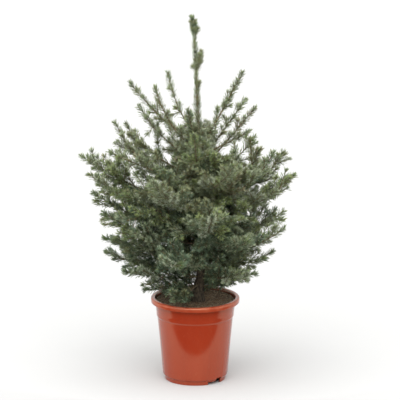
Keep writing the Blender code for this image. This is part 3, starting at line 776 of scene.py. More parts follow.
@dataclass
class Pot:
    """The nursery pot: a turned wall with a rolled lip, a stepped collar, a foot ring, ribs and drains.

    Angles are in degrees, and 0 is to the right of the view.
    """

    height: float = 0.180
    wall: float = 0.0016
    floor: float = 0.0022
    disc_radius: float = 0.0280
    channel_z: float = 0.0065
    channel_slope: float = 0.0032
    foot_ring_width: float = 0.0025
    foot_step: float = 0.0010
    foot_radius: float = 0.0643
    foot_height: float = 0.0095
    body_foot_radius: float = 0.0685
    body_top_radius: float = 0.0808
    body_top_z: float = 0.138
    ledge_radius: float = 0.0825
    ledge_height: float = 0.0026
    collar_foot_radius: float = 0.0830
    collar_foot_z: float = 0.149
    collar_top_radius: float = 0.0870
    lip_radius: float = 0.0950
    lip_drop: float = 0.0100
    lip_round: float = 0.0030
    lip_thickness: float = 0.0040
    notch_azimuths: tuple = (-50.0, 130.0)
    notch_width: float = 0.034
    drain_width: float = 0.015
    drain_top_z: float = 0.0130
    drain_offset: float = 0.0095
    cut_depth: float = 0.0100
    gap: float = 0.0003
    segments: int = 300
    pitch: float = 0.005
    panel_depth: float = 0.0005
    panel_top_z: float = 0.078
    panel_fade: float = 0.022
    panel_edge: float = 1.6
    wall_fade: float = 0.002
    rib_azimuths: tuple = (-102.4, 2.0, 77.6, 182.0)
    rib_width: float = 0.0155
    rib_height: float = 0.00035
    rib_top_z: float = 0.058
    crease: float = 38.0
    finish: PotPlastic = PotPlastic()

    def inner_wall(self) -> list[tuple[float, float]]:
        """The inside of the wall: the outside's corners set in by the wall, and a little higher.

        Returns:
            (radius, height) points from the floor up.
        """
        rise = 0.4 * self.wall
        corners = (
            (self.foot_radius, self.channel_z + self.floor),
            (self.body_foot_radius, self.foot_height + 2 * self.wall),
            (self.body_top_radius, self.body_top_z + rise),
            (self.collar_foot_radius, self.collar_foot_z + rise),
            (self.collar_top_radius, self.height - self.lip_thickness),
        )
        return [(radius - self.wall, z) for radius, z in corners]

    def inner_radius(self, z: Array | float) -> Array:
        """Inner radius of the wall at a height, straight between its corners."""
        radii, heights = zip(*self.inner_wall())
        return np.interp(z, heights, radii)

    def profile(self) -> Array:
        """The section from the underside's centre round the lip to the floor's centre.

        Each corner is a row of its radius, its height and how far its rounding reaches.

        Returns:
            (radius, height) rows.
        """
        skirt_in = self.lip_radius - self.wall
        ring_in = self.foot_radius - self.foot_ring_width
        shift = self.floor * 0.5
        under = self.height - self.lip_thickness
        inner = [(radius, z, 0.001) for radius, z in reversed(self.inner_wall())]
        corners = [
            (0.0, 0.0, 0.0),
            (self.disc_radius, 0.0, 0.0006),
            (self.disc_radius + self.channel_slope, self.channel_z, 0.001),
            (ring_in, self.channel_z, 0.0004),
            (ring_in, 0.0, 0.0004),
            (self.foot_radius, 0.0, 0.0006),
            (self.foot_radius + self.foot_step, self.foot_height - self.foot_step, 0.0006),
            (self.body_foot_radius, self.foot_height + self.wall, 0.0011),
            (self.body_top_radius, self.body_top_z, 0.0006),
            (self.ledge_radius, self.body_top_z + self.ledge_height, 0.0006),
            (self.collar_foot_radius, self.collar_foot_z, 0.0018),
            (self.collar_top_radius, under, 0.0008),
            (skirt_in, under, 0.0006),
            (skirt_in, self.height - self.lip_drop, 0.0003),
            (self.lip_radius - 0.0004, self.height - self.lip_drop, 0.0005),
            (self.lip_radius, self.height, self.lip_round * 1.25),
            (self.collar_top_radius - 0.0003, self.height, 0.0012),
            *inner,
            (self.disc_radius + self.channel_slope - shift, self.channel_z + self.floor, 0.001),
            (self.disc_radius - shift, self.floor, 0.001),
            (0.0, self.floor, 0.0),
        ]
        return rounded(corners)

    def relief(self, profile: Array, azimuths: Array) -> Array:
        """Panels sunk above the notches and ribs that stand proud beside them, both fading upwards.

        Args:
            profile: the rows of the rings.
            azimuths: the angles of the rings' points.

        Returns:
            What is added to the radius, as (rows, azimuths).
        """
        radius, z = profile[:, :1], profile[:, 1:]
        outside = ease((z - self.foot_height - self.wall) / self.wall_fade)
        outside = outside * (z < self.body_top_z - self.wall_fade)
        outside = outside * (radius > self.inner_radius(z) + self.wall / 2)
        total = np.zeros((len(profile), len(azimuths)))
        rows = [(a, self.notch_width, -self.panel_depth, self.panel_top_z) for a in self.notch_azimuths]
        rows += [(a, self.rib_width, self.rib_height, self.rib_top_z) for a in self.rib_azimuths]
        for azimuth, width, height, top_z in rows:
            away = (azimuths - math.radians(azimuth) + math.pi) % math.tau - math.pi
            from_edge = width / 2 / self.foot_radius - np.abs(away)
            sideways = ease(from_edge / math.radians(self.panel_edge) + 0.5)
            upwards = ease((top_z - z) / self.panel_fade)
            total += height * sideways * upwards
        return total * outside

    def dress(self) -> list[Piece]:
        """Build the pot, cut its notches and drains, and give it its plastic.

        Returns:
            The pot, as one piece.
        """
        profile = refined(self.profile(), self.pitch)
        azimuths = ring_angles(self.segments)
        shell = turned(profile, azimuths, self.relief(profile[1:-1], azimuths))
        made = shell.piece("pot_shell", self.finish.material())
        for azimuth in map(math.radians, self.notch_azimuths):
            notch = (self.cut_depth, self.notch_width, 2 * (self.channel_z - self.gap))
            cut_box(made, azimuth, (self.foot_radius, 0.0, 0.0), notch)
            drain = (2 * self.cut_depth, self.drain_width, 2 * self.drain_top_z)
            cut_box(made, azimuth, (self.foot_radius, self.drain_offset, 0.0), drain)
        made.data.shade_smooth()
        made.data.set_sharp_from_angle(angle=math.radians(self.crease))
        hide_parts("pot")
        return [made]


@dataclass
class Soil:
    """The bed of peat in the pot, with crumbs, fallen needles and dry stalks on it.

    A margin is how far small things keep from the wall.
    """

    pot: Pot
    top_z: float = 0.170
    clod_depth: float = 0.0030
    clod_scale: float = 90.0
    clod_mean: float = 0.62
    grain_depth: float = 0.0016
    grain_finer: float = 5.0
    seeds: tuple = (21, 31)
    slice: float = 0.5
    mound: float = 0.0012
    mound_radius: float = 0.022
    heap: float = 0.0048
    heap_width: float = 0.016
    trunk_x: float = 0.0047
    rings: int = 60
    ring_shift: float = 0.4
    segments: int = 150
    rim_lift: float = 0.0005
    rim_fade: float = 0.002
    slack: float = 0.0004
    slack_z: float = 0.001
    foot_radius: float = 0.0568
    foot_corner_z: float = 0.0143
    crumbs: int = 1300
    crumb_margin: float = 0.003
    crumb_size: tuple = (0.0005, 0.0016)
    crumb_squash: tuple = (0.6, 1.25)
    crumb_jitter: tuple = (0.75, 1.2)
    fallen: int = 420
    fallen_margin: float = 0.012
    fallen_lift: float = 0.0006
    fallen_tilt: float = 0.16
    fallen_length: tuple = (0.008, 0.0125)
    stalks: int = 26
    stalk_margin: float = 0.030
    stalk_length: tuple = (0.014, 0.034)
    stalk_rise: tuple = (0.02, 0.55)
    stalk_bend: float = 0.18
    stalk_radius: tuple = (0.0003, 0.0006)
    stalk_lift: float = 0.0003
    stalk_points: int = 7
    stalk_sides: int = 5
    nearest: float = 0.03
    crease: float = 30.0
    seed: int = 5
    peat: Peat = Peat()
    straw: PlainGrowth = PlainGrowth("dry_stalk", (138, 116, 84), 0.7, 0.9, 0.3)
    shed: PlainGrowth = PlainGrowth("shed_needle", (110, 84, 56), 0.6, 0.8, 0.3)

    def surface_z(self, x: Array, y: Array) -> Array:
        """Height of the bed: clods and grains of noise, a low mound round the trunk and a heap at the wall.

        Args:
            x: how far right of the pot's middle.
            y: how far behind it.

        Returns:
            The heights.
        """
        places = np.stack([x * self.clod_scale, y * self.clod_scale, np.full_like(x, self.slice)], axis=-1)
        clods = self.clod_depth * (layered(places, self.seeds[0]) - self.clod_mean)
        grains = self.grain_depth * (layered(places * self.grain_finer, self.seeds[1], 2) - 0.5)
        near = hill(np.hypot(x - self.trunk_x, y) / self.mound_radius)
        from_wall = self.pot.inner_radius(self.top_z) - np.hypot(x, y)
        heap = self.heap * ease(1.0 - from_wall / self.heap_width)
        return self.top_z + (clods + grains) * (1.0 - near) + self.mound * near + heap

    def bed(self) -> Shape:
        """The plug of peat: a turned side under a rough top.

        Returns:
            The closed shape.
        """
        rim = self.top_z + self.rim_lift
        floor_z = self.pot.channel_z + self.pot.floor + self.pot.gap
        sides = (self.foot_corner_z, self.pot.body_top_z, self.pot.collar_foot_z, rim)
        lower = [(self.pot.inner_radius(z - self.slack_z) - self.slack, z) for z in sides]
        lower = [(self.foot_radius, floor_z), *lower]
        edge = lower[-1][0]
        radii = edge * (1.0 - (np.arange(self.rings) + self.ring_shift) / self.rings)
        profile = np.array([(0.0, floor_z), *lower, *((radius, rim) for radius in radii), (0.0, rim)])
        shape = turned(profile, ring_angles(self.segments))
        top = shape.points[:, 2] > rim - TINY
        x, y = shape.points[top, 0], shape.points[top, 1]
        inward = ease((edge - np.hypot(x, y)) / self.rim_fade)
        shape.points[top, 2] = rim + (self.surface_z(x, y) - rim) * inward
        return shape

    def scattered(self, count: int, margin: float, dice: Dice) -> Array:
        """Places spread evenly over the bed and clear of the trunk.

        Args:
            count: how many.
            margin: how far they keep from the wall.
            dice: random numbers.

        Returns:
            Points on the surface, one row each.
        """
        reach = self.pot.inner_radius(self.top_z) - margin
        radius = reach * np.sqrt(dice.uniform(self.nearest, 1.0, count))
        azimuth = dice.uniform(0.0, math.tau, count)
        x, y = radius * np.cos(azimuth), radius * np.sin(azimuth)
        return np.stack([x, y, self.surface_z(x, y)], axis=-1)

    def crumb_shapes(self, dice: Dice) -> Shape:
        """Crumbs: icosahedra with every corner pulled in or out, half sunk in the bed.

        Args:
            dice: random numbers.

        Returns:
            All the crumbs.
        """
        golden = (1.0 + math.sqrt(5.0)) / 2.0
        rows = [(-1, golden, 0), (1, golden, 0), (-1, -golden, 0), (1, -golden, 0)]
        corners = unit(np.array([np.roll(row, turn) for turn in range(3) for row in rows], float))
        # A face joins three corners that all lie one edge apart
        apart = np.linalg.norm(corners[:, None] - corners[None], axis=-1)
        near = (apart > 0.0) & (apart < np.sort(apart[0])[1] * 1.01)
        triples = itertools.combinations(range(len(corners)), 3)
        faces = np.array([(a, b, c) for a, b, c in triples if near[a, b] and near[b, c] and near[a, c]])
        first, second, third = np.moveaxis(corners[faces], 1, 0)
        inward = (np.cross(second - first, third - first) * first).sum(axis=1) < 0
        faces[inward] = faces[inward][:, ::-1]
        size = plus(self.crumb_size, dice.uniform(0.0, 1.0, (self.crumbs, 1, 1)) ** 3)
        squash = dice.uniform(*self.crumb_squash, (self.crumbs, 1, 3))
        jitter = dice.uniform(*self.crumb_jitter, (self.crumbs, len(corners), 1))
        places = self.scattered(self.crumbs, self.crumb_margin, dice)
        return Shape.copies(places[:, None] + corners * jitter * squash * size, faces)

    def stalk_shapes(self, dice: Dice) -> Shape:
        """Dry stalks: thin bent tubes that lie on the bed or lean out of it.

        Args:
            dice: random numbers.

        Returns:
            All the stalks.
        """
        roots = self.scattered(self.stalks, self.stalk_margin, dice)
        azimuth = dice.uniform(0.0, math.tau, self.stalks)
        length = dice.uniform(*self.stalk_length, self.stalks)
        heading = spokes(azimuth, dice.uniform(*self.stalk_rise, self.stalks))
        shares = np.linspace(0.0, 1.0, self.stalk_points)[None, :, None]
        bend = dice.normal(0.0, self.stalk_bend, (self.stalks, 1, 3)) * shares**2
        paths = roots[:, None] + (heading[:, None] * shares + bend) * length[:, None, None]
        lowest = self.surface_z(paths[..., 0], paths[..., 1]) + self.stalk_lift
        paths[..., 2] = np.maximum(paths[..., 2], lowest)
        radii = np.linspace(1.0, 0.5, self.stalk_points) * dice.uniform(*self.stalk_radius, (self.stalks, 1))
        return tubes(paths, radii, self.stalk_sides)

    def fallen_needles(self, dice: Dice) -> "Needles":
        """Shed needles, flat on the bed.

        Args:
            dice: random numbers.

        Returns:
            The needles.
        """
        roots = self.scattered(self.fallen, self.fallen_margin, dice) + UP * self.fallen_lift
        azimuth = dice.uniform(0.0, math.tau, self.fallen)
        heading = unit(spokes(azimuth, dice.normal(0.0, self.fallen_tilt, self.fallen)))
        width = unit(np.cross(UP, heading))
        length = dice.uniform(*self.fallen_length, self.fallen)
        return Needles(roots, heading, width, length, np.zeros(self.fallen, int))

    def dress(self) -> list[Piece]:
        """Build the bed and what lies on it.

        Returns:
            The bed, crumbs, stalks and shed needles.
        """
        dice = np.random.default_rng(self.seed)
        bed = self.bed().piece("soil_bed", self.peat.material())
        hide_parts("soil")
        crumbs = self.crumb_shapes(dice).piece("soil_crumbs", bed.data.materials[0], self.crease)
        stalks = self.stalk_shapes(dice).piece("soil_stalks", self.straw.material())
        needles = self.fallen_needles(dice).shape().piece("soil_needles", self.shed.material())
        made = [bed, crumbs, stalks, needles]
        return made


# Trunk and boughs


@dataclass
class Trunk:
    """The trunk: a leaning axis with a bow, a taper and a root flare, under scaly bark."""

    foot_z: float = 0.170
    tip_z: float = 0.789
    foot_x: float = 0.0047
    tip_x: float = -0.0055
    bow: float = 0.0132
    bow_start: float = 0.09
    sway: float = 0.0030
    foot_radius: float = 0.0098
    tip_radius: float = 0.0014
    taper: float = 1.5
    flare: float = 0.0060
    flare_height: float = 0.028
    sunk: float = 0.003
    rings: int = 400
    sides: int = 40
    ring_crowding: float = 1.15
    plate_depth: float = 0.11
    plate_scale: tuple = (420.0, 420.0, 150.0)
    flute_depth: float = 0.35
    flute_scale: float = 1.5
    flute_height: float = 0.030
    seeds: tuple = (41, 47)
    collar_depth: float = 0.0011
    collar_height: float = 0.0045
    collar_turn: float = 0.8

    def share(self, z: Array | float) -> Array:
        """Share of the way from the foot to the tip at a height."""
        return np.clip((np.asarray(z, float) - self.foot_z) / (self.tip_z - self.foot_z), 0.0, 1.0)

    def centre(self, z: Array | float) -> Array:
        """Centre of the trunk at each height: a straight lean plus a bow that starts low and fades upwards.

        Args:
            z: the heights.

        Returns:
            Points, with the heights' shape and a last axis of 3.
        """
        share = self.share(z)
        bow = np.sqrt(1.0 - share) * (1.0 - np.exp(-((share / self.bow_start) ** 2)))
        x = blend(self.foot_x, self.tip_x, share) + self.bow * bow
        y = self.sway * np.sin(math.tau * share)
        return np.stack([x, y, np.broadcast_to(z, x.shape)], axis=-1)

    def radius(self, z: Array | float) -> Array:
        """Radius of the trunk at each height: a power of the share left to the tip, and a root flare.

        Args:
            z: the heights.

        Returns:
            The radii.
        """
        above = np.maximum(np.asarray(z, float) - self.foot_z, 0.0)
        taper = (self.foot_radius - self.tip_radius) * (1.0 - self.share(z)) ** self.taper
        return self.tip_radius + taper + self.flare * np.exp(-above / self.flare_height)

    def bark(self, collars: Array, headings: Array) -> Shape:
        """The bark: scales of noise drawn out along the trunk, with a swelling round every bough's foot.

        Args:
            collars: heights of the boughs' feet.
            headings: azimuths of the boughs, in radians.

        Returns:
            The closed shape.
        """
        rows = np.linspace(0.0, 1.0, self.rings) ** self.ring_crowding
        z = self.foot_z - self.sunk + rows * (self.tip_z - self.foot_z + self.sunk)
        turn = ring_angles(self.sides)
        radius = self.radius(z)[:, None]
        height = np.broadcast_to(z[:, None], (self.rings, self.sides))
        places = np.stack([radius * np.cos(turn), radius * np.sin(turn), height], axis=-1)
        plates = layered(places * self.plate_scale, self.seeds[0])
        flutes = layered(spokes(turn) * self.flute_scale, self.seeds[1], 2)
        low = hill((height - self.foot_z) / self.flute_height)
        swell = 1.0 + self.plate_depth * (plates - 0.5) * 2 + self.flute_depth * low * (flutes - 0.5)
        away = (turn[None, :, None] - headings + math.pi) % math.tau - math.pi
        bumps = hill((z[:, None, None] - collars) / self.collar_height) * hill(away / self.collar_turn)
        radii = radius * swell + self.collar_depth * bumps.sum(axis=2)
        return tubes(self.centre(z)[None], radii[None], self.sides)


@dataclass(frozen=True)
class Bough:
    """One bough: where it leaves the trunk, its tip, how far it sags, and whether its bare limb shows."""

    name: str
    foot_z: float
    tip: Place
    sag: float = 0.12
    limb: bool = False


# Boughs seen in outline, from the top whorl down: name, foot height, tip, sag, and True where the limb shows.
# Lengths are in millimetres, and a tip is x to the right, y away from the viewer and z up.
OUTLINE_BOUGHS = (
    ("top_left", 524, (-136, 20, 644), 0.12, True),
    ("top_back_left", 536, (-56, 45, 658), 0.19),
    ("top_front_left", 500, (-84, -50, 649), 0.14),
    ("top_front", 530, (-15, -45, 600), 0.16),
    ("top_back_right", 452, (48, 60, 580), 0.24),
    ("top_back", 496, (-9, 105, 555), 0.12),
    ("right_tall", 504, (97, -22, 676), 0.03, True),
    ("right_second", 468, (105, 30, 602), -0.02, True),
    ("right_third", 444, (122, -52, 605), -0.02, True),
    ("left_second", 465, (-117, -16, 599), 0.07, True),
    ("left_upright", 398, (-79, 20, 554), 0.46, True),
    ("left_third", 428, (-170, -30, 571), 0.24, True),
    ("left_fourth", 446, (-146, 12, 555), 0.18),
    ("left_outer", 372, (-239, 18, 485), 0.08, True),
    ("left_front_outer", 413, (-178, -76, 517), 0.00),
    ("left_low_outer", 345, (-224, -46, 460), 0.10),
    ("right_fourth", 430, (123, 68, 513), 0.12),
    ("right_front_outer", 388, (161, -75, 513), 0.20),
    ("right_high_outer", 374, (187, 34, 488), 0.17, True),
    ("right_outer", 345, (207, -30, 454), 0.12),
    ("left_low", 314, (-215, 36, 397), 0.10),
    ("left_middle", 296, (-190, -62, 379), 0.12),
    ("left_lower", 276, (-192, -20, 314), 0.12, True),
    ("left_bottom", 244, (-188, 40, 266), 0.11),
    ("left_lowest", 224, (-152, -30, 244), 0.10),
    ("right_low", 308, (187, 34, 357), 0.10),
    ("right_lower", 270, (186, -40, 341), 0.14, True),
    ("right_bottom", 240, (162, 16, 274), 0.11),
    ("right_lowest", 218, (127, -42, 241), 0.03),
    ("front_left_lowest", 208, (-46, -100, 202), 0.04),
    ("left_hanging", 206, (-104, -30, 202), 0.03),
    ("right_upright", 398, (132, -45, 516), 0.28),
    ("right_slender", 486, (111, -60, 560), 0.00),
)

# Boughs that fill the front and the back: (foot height, azimuth in degrees, reach, rise)
FRONT_RING = (
    (0.462, -92, 0.125, 0.105),
    (0.410, -62, 0.165, 0.095),
    (0.372, -118, 0.185, 0.100),
    (0.330, -80, 0.205, 0.080),
    (0.290, -56, 0.190, 0.055),
    (0.262, -108, 0.190, 0.045),
    (0.232, -50, 0.150, 0.034),
)
BACK_RING = (
    (0.424, 112, 0.165, 0.105),
    (0.358, 66, 0.200, 0.090),
    (0.322, 128, 0.210, 0.085),
    (0.284, 92, 0.200, 0.060),
    (0.252, 46, 0.180, 0.040),
)
RING_SAG = 0.13

# Side shoots that show in outline: the bough, then for each shoot the share of the way along the bough, and
# its tip as x, y and z in millimetres
SEEN_SHOOTS = (
    ("right_tall", (0.54, 66, -17, 624), (0.57, 71, -21, 602)),
    ("left_fourth", (0.50, -137, 3, 526)),
    ("left_third", (0.50, -158, -22, 514), (0.30, -115, -13, 458)),
    ("left_outer", (0.42, -143, 4, 449), (0.60, -177, 4, 468)),
    ("right_outer", (0.30, 94, -50, 372)),
    ("right_front_outer", (0.35, 90, -60, 392)),
    ("top_left", (0.58, -94, 8, 582), (0.46, -80, 6, 570)),
    ("top_back_left", (0.48, -50, 22, 573)),
    ("left_upright", (0.62, -94, 15, 493)),
    ("right_outer", (0.86, 170, -30, 406)),
    ("right_high_outer", (0.92, 191, 28, 484)),
    ("right_upright", (0.82, 119, -44, 530), (0.72, 131, -41, 510)),
    ("left_outer", (0.81, -206, 7, 484), (0.87, -220, 26, 491)),
    ("right_high_outer", (0.86, 196, 21, 475), (0.90, 166, 40, 484)),
    ("right_low", (0.80, 184, 16, 344)),
    ("right_bottom", (0.70, 143, 2, 260)),
    ("top_left", (0.55, -81, 1, 603)),
    ("left_second", (0.74, -96, -24, 546)),
    ("right_second", (0.63, 62, 25, 569)),
    ("right_third", (0.69, 88, -41, 576)),
    ("left_low", (0.78, -207, 20, 374), (0.66, -188, 12, 352)),
    ("left_middle", (0.80, -188, -60, 352), (0.62, -160, -70, 336)),
    ("right_low", (0.44, 130, 10, 372), (0.58, 150, 50, 366), (0.70, 168, 14, 362)),
    ("right_lower", (0.62, 150, -20, 336), (0.78, 178, -22, 348)),
    ("right_outer", (0.84, 192, -12, 459), (0.60, 160, -10, 424), (0.50, 132, -46, 402)),
    ("front_left_lowest", (0.55, -26, -86, 197), (0.35, -12, -74, 202)),
    ("front_left_lowest", (0.70, -40, -82, 196), (0.50, -52, -78, 206)),
    ("right_lowest", (0.36, 32, 30, 192), (0.46, 60, 6, 195)),
    ("left_second", (0.32, -66, 2, 498)),
    ("left_outer", (0.52, -160, 4, 468)),
    ("right_lowest", (0.28, 22, 36, 191)),
    ("left_hanging", (0.50, -66, 4, 206), (0.35, -48, -44, 204)),
)


# Parts of the view from the front where no shoot shows: left, right, low and high edges in the plane of the
# view, in millimetres right of the pot's middle and up from its foot
OPENINGS = (
    (-237, -192, 487, 507),
    (-194, -168, 461, 480),
    (-130, -105, 403, 429),
    (-98, -84, 480, 498),
    (-68, -54, 512, 529),
    (-70, -45, 452, 471),
    (-43, -30, 588, 616),
    (44, 76, 472, 508),
    (44, 56, 524, 546),
    (70, 84, 521, 535),
    (88, 104, 476, 502),
    (140, 160, 468, 492),
    (158, 184, 359, 376),
    (140, 173, 262, 284),
    (168, 192, 292, 316),
    (76, 104, 178, 201.5),
)
# The same, but only for what stands in front of the trunk
FRONT_OPENINGS = ((-8, 22, 164, 231), (-31, -6, 288, 308))


def all_boughs() -> list[Bough]:
    """The boughs seen in outline, then those of the front and the back ring.

    Returns:
        The boughs in the order that numbers them for the rule of the side shoots.
    """
    made = []
    for name, foot_z, tip, sag, *limb in OUTLINE_BOUGHS:
        made.append(Bough(name, foot_z / MILLIMETRES, tuple(np.array(tip) / MILLIMETRES), sag, *limb))
    for side, rows in (("front", FRONT_RING), ("back", BACK_RING)):
        for index, (foot_z, azimuth, reach, rise) in enumerate(rows, start=1):
            turn = math.radians(azimuth)
            tip = (reach * math.cos(turn), reach * math.sin(turn), foot_z + rise)
            made.append(Bough(f"{side}_{index}", foot_z, tip, RING_SAG))
    return made


class Rows:
    """What shoots and needles share: arrays with one row each, which are picked and joined together."""

    def columns(self) -> list[Array]:
        """The arrays, in the order of the fields."""
        return [value for value in vars(self).values() if isinstance(value, Array)]

    def taken(self, kept: Array) -> Self:
        """The rows that a mask or a list of numbers picks."""
        return type(self)(*(column[kept] for column in self.columns()))

    @classmethod
    def joined(cls, groups: list[Self]) -> Self:
        """Several groups as one."""
        return cls(*(np.concatenate(column) for column in zip(*(group.columns() for group in groups))))


@dataclass
class Shoots(Rows):
    """Many shoots at once, each a quadratic Bezier curve from a root past a control point to a tip.

    The wood tapers from one radius to the other. From the share clothed_from on, a shoot bears needles of a
    length, at a lean in radians, so many to a metre. Its shade is its spray's, as a number.
    """

    root: Array
    control: Array
    tip: Array
    foot_radius: Array
    tip_radius: Array
    clothed_from: Array
    needle_length: Array
    lean: Array
    density: Array
    shade: Array

    def at(self, which: Array, share: Array) -> Array:
        """Points on the shoots of these numbers: root, control and tip weighted by the Bezier shares."""
        near, far = 1.0 - share[:, None], share[:, None]
        return self.root[which] * near**2 + self.control[which] * 2 * near * far + self.tip[which] * far**2

    def along(self, which: Array, share: Array) -> Array:
        """Unit directions of travel: the legs to and from the control point, blended by the share."""
        first, second = self.control - self.root, self.tip - self.control
        return unit(blend(first[which], second[which], share[:, None]))

    def length(self) -> Array:
        """Length of each curve: two thirds of its chord and a third of its two legs.

        Returns:
            The lengths.
        """
        runs = (self.tip - self.root, self.control - self.root, self.tip - self.control)
        chord, first, second = (np.linalg.norm(run, axis=1) for run in runs)
        return (2.0 * chord + (first + second)) / 3.0

    def wood(self, rows: int, sides: int, peg: float = 0.0) -> Shape:
        """The shoots' wood as tapering tubes, with the pegs that shed needles leave.

        Args:
            rows: how many rings a shoot has.
            sides: how many sides it has.
            peg: how far the pegs stand out, as a share of the radius.

        Returns:
            All the tubes as one shape.
        """
        count = len(self.root)
        shares = np.linspace(0.0, 1.0, rows)
        which = np.repeat(np.arange(count), rows)
        paths = self.at(which, np.tile(shares, count)).reshape(count, rows, 3)
        radii = blend(self.foot_radius[:, None], self.tip_radius[:, None], shares)
        radii = np.repeat(radii[..., None], sides, axis=2)
        per_ring, per_side = 2.4, 2.1
        bumps = np.sin(np.arange(rows)[:, None] * per_ring + np.arange(sides) * per_side)
        return tubes(paths, radii * (1.0 + peg * bumps), sides)


# Growth


@dataclass
class Growth:
    """The rule by which side shoots and twigs grow from the boughs.

    The first side shoots of a bough are those of the part's own rule, with the same random draws. Fillers
    grow in the spaces between, and finer twigs on both. Angles are in degrees, and densities in needles to
    a metre.
    """

    trunk: Trunk
    boughs: list[Bough]
    palette: Palette = Palette()
    seed: int = 11
    filler_seed: int = 1011
    limb_share: float = 0.34
    bare_share: float = 0.16
    shoot_set_in: float = 0.04
    last_shoot: float = 0.88
    main_shoots: int = 4
    shoot_shift: float = 0.25
    side_share: float = 0.50
    side_size: tuple = (1.20, -0.96)
    filler_shorter: tuple = (1.20, -0.98)
    filler_shift: float = 0.4
    filler_angle: tuple = (41.0, 9.0)
    filler_lift: tuple = (0.12, 0.12)
    filler_sink: float = 0.10
    filler_turn: float = 2.0
    filler_tilt: tuple = (88.0, -58.0)
    filler_size: tuple = (0.45, 0.25)
    filler_uneven: float = 0.38
    slimness: tuple = (0.30, 0.70)
    slim_z: tuple = (0.480, 0.600)
    side_angle: tuple = (46.0, 8.0)
    side_lift: tuple = (0.16, 0.20)
    sag_outward: float = 0.7
    stem_foot: tuple = (0.0012, 0.0050)
    stem_tip: float = 0.0009
    stem_clothed_from: float = 0.22
    stem_needle: tuple = (0.0136, 0.0008)
    stem_lean: tuple = (47.0, 3.0)
    stem_density: tuple = (1350.0, -250.0)
    crown_reach: float = 0.2400
    floor_z: float = 0.190
    cuts: int = 6
    cut_share: float = 0.8
    fillers: tuple = (32.0, 42.0)
    filler_start: float = 0.06
    terminal: float = 0.026
    tip_shoot: float = 0.010
    tip_room: float = 0.46
    shoot_bend: float = 0.10
    shoot_drift: float = 0.05
    shoot_rise: float = 0.02
    shoot_foot: tuple = (0.0007, 0.0075)
    shoot_tip: float = 0.0006
    shoot_clothed_from: float = 0.04
    shoot_needle: tuple = (0.0130, 0.0016)
    needle_range: tuple = (0.9, 1.08)
    shoot_lean: tuple = (46.0, 6.0)
    shoot_density: tuple = (1000.0, -100.0)
    density_spread: float = 120.0
    twig_pitch: float = 0.018
    twig_stretch: float = 0.8
    twig_bearing: float = 0.034
    twig_shares: tuple = (0.14, 0.78)
    twig_shift: float = 0.35
    twig_tilt: tuple = (6.0, 54.0)
    twig_angle: tuple = (41.0, 8.0)
    twig_lift: tuple = (0.08, 0.10)
    twig_share: float = 0.50
    twig_shortening: tuple = (1.1, -0.65)
    twig_uneven: float = 0.25
    twig_least: float = 0.016
    twig_most: float = 0.042
    twig_most_uneven: float = 0.2
    twig_bend: float = 0.08
    inherits_below: float = 0.5
    inner_shoots: int = 260
    inner_z: tuple = (0.196, 0.356)
    inner_turn: float = 0.5
    inner_rise: tuple = (24.0, 20.0)
    inner_rise_z: tuple = (0.18, 0.24)
    inner_length: tuple = (0.062, 0.022)
    inner_shorter: float = 0.62
    inner_shorter_z: tuple = (0.44, 0.55)
    inner_bend: float = 0.06
    front_facing: float = 0.55
    trunk_shown_z: float = 0.285
    judged_at: tuple = (0.5, 0.75, 1.0)
    seed_steps: tuple = (500, 700, 900)

    def axes(self) -> Shoots:
        """The boughs' own axes, from the trunk's centre to their tips, bent as in the part's source.

        Returns:
            One shoot for each bough, in their order.
        """
        foot = self.trunk.centre(np.array([bough.foot_z for bough in self.boughs]))
        tip = np.array([bough.tip for bough in self.boughs])
        sag = np.array([bough.sag for bough in self.boughs])[:, None]
        run = tip - foot
        length = np.linalg.norm(run, axis=1)
        outward = unit(run * [1.0, 1.0, 0.0])
        control = (foot + tip) / 2 + (outward * self.sag_outward - UP) * sag * length[:, None]
        fullness = self.fullness(tip[:, 2])
        count = len(foot)
        return Shoots(
            foot,
            control,
            tip,
            plus(self.stem_foot, length),
            np.full(count, self.stem_tip),
            np.full(count, self.stem_clothed_from),
            plus(self.stem_needle, fullness),
            np.radians(plus(self.stem_lean, fullness)),
            plus(self.stem_density, fullness),
            self.palette.deal(tip, np.random.default_rng(self.seed).uniform(size=count)),
        )

    def fullness(self, tip_z: Array) -> Array:
        """How bushy a bough is, from 1 below to 0 at the top of the crown, by the height of its tip."""
        low, high = self.slim_z
        return 1.0 - np.clip((tip_z - low) / (high - low), 0.0, 1.0)

    def held(self, root: Array, heading: Array, length: Array) -> Array:
        """Lengths cut back so that the tips stay inside the crown's reach and above the pot's rim.

        Args:
            root: where the shoots start.
            heading: their directions.
            length: the lengths asked for.

        Returns:
            The lengths that fit.
        """
        for _ in range(self.cuts):
            tip = root + heading * length[:, None]
            out = (np.hypot(tip[:, 0], tip[:, 1]) > self.crown_reach) | (tip[:, 2] < self.floor_z)
            length = np.where(out, length * self.cut_share, length)
        return length

    def from_bough(self, axes: Shoots, index: int) -> tuple[Array, Array, Array]:
        """The side shoots of one bough: the rule's own, then those that fill the spaces between them.

        Args:
            axes: every bough's axis.
            index: the bough's number.

        Returns:
            Roots, directions and lengths.
        """
        bough = self.boughs[index]
        first = (self.limb_share if bough.limb else self.bare_share) + self.shoot_set_in
        fullness = self.fullness(axes.tip[index, 2])
        slimness = plus(self.slimness, fullness)
        run = axes.tip[index] - axes.root[index]
        reach = float(np.linalg.norm(run))
        normal = np.cross(unit(run * [1.0, 1.0, 0.0]), UP)

        dice = np.random.default_rng(self.seed + index)
        shift, swing, lift, _ = dice.uniform(-1, 1, (self.main_shoots, 4)).T
        number = np.arange(self.main_shoots)
        place = number + 0.5 + self.shoot_shift * shift
        share = first + (self.last_shoot - first) * place / self.main_shoots
        side = np.where((number + index) % 2, 1.0, -1.0)
        angle = np.radians(plus(self.side_angle, swing))
        lift = plus(self.side_lift, lift)
        size = plus(self.side_size, share)

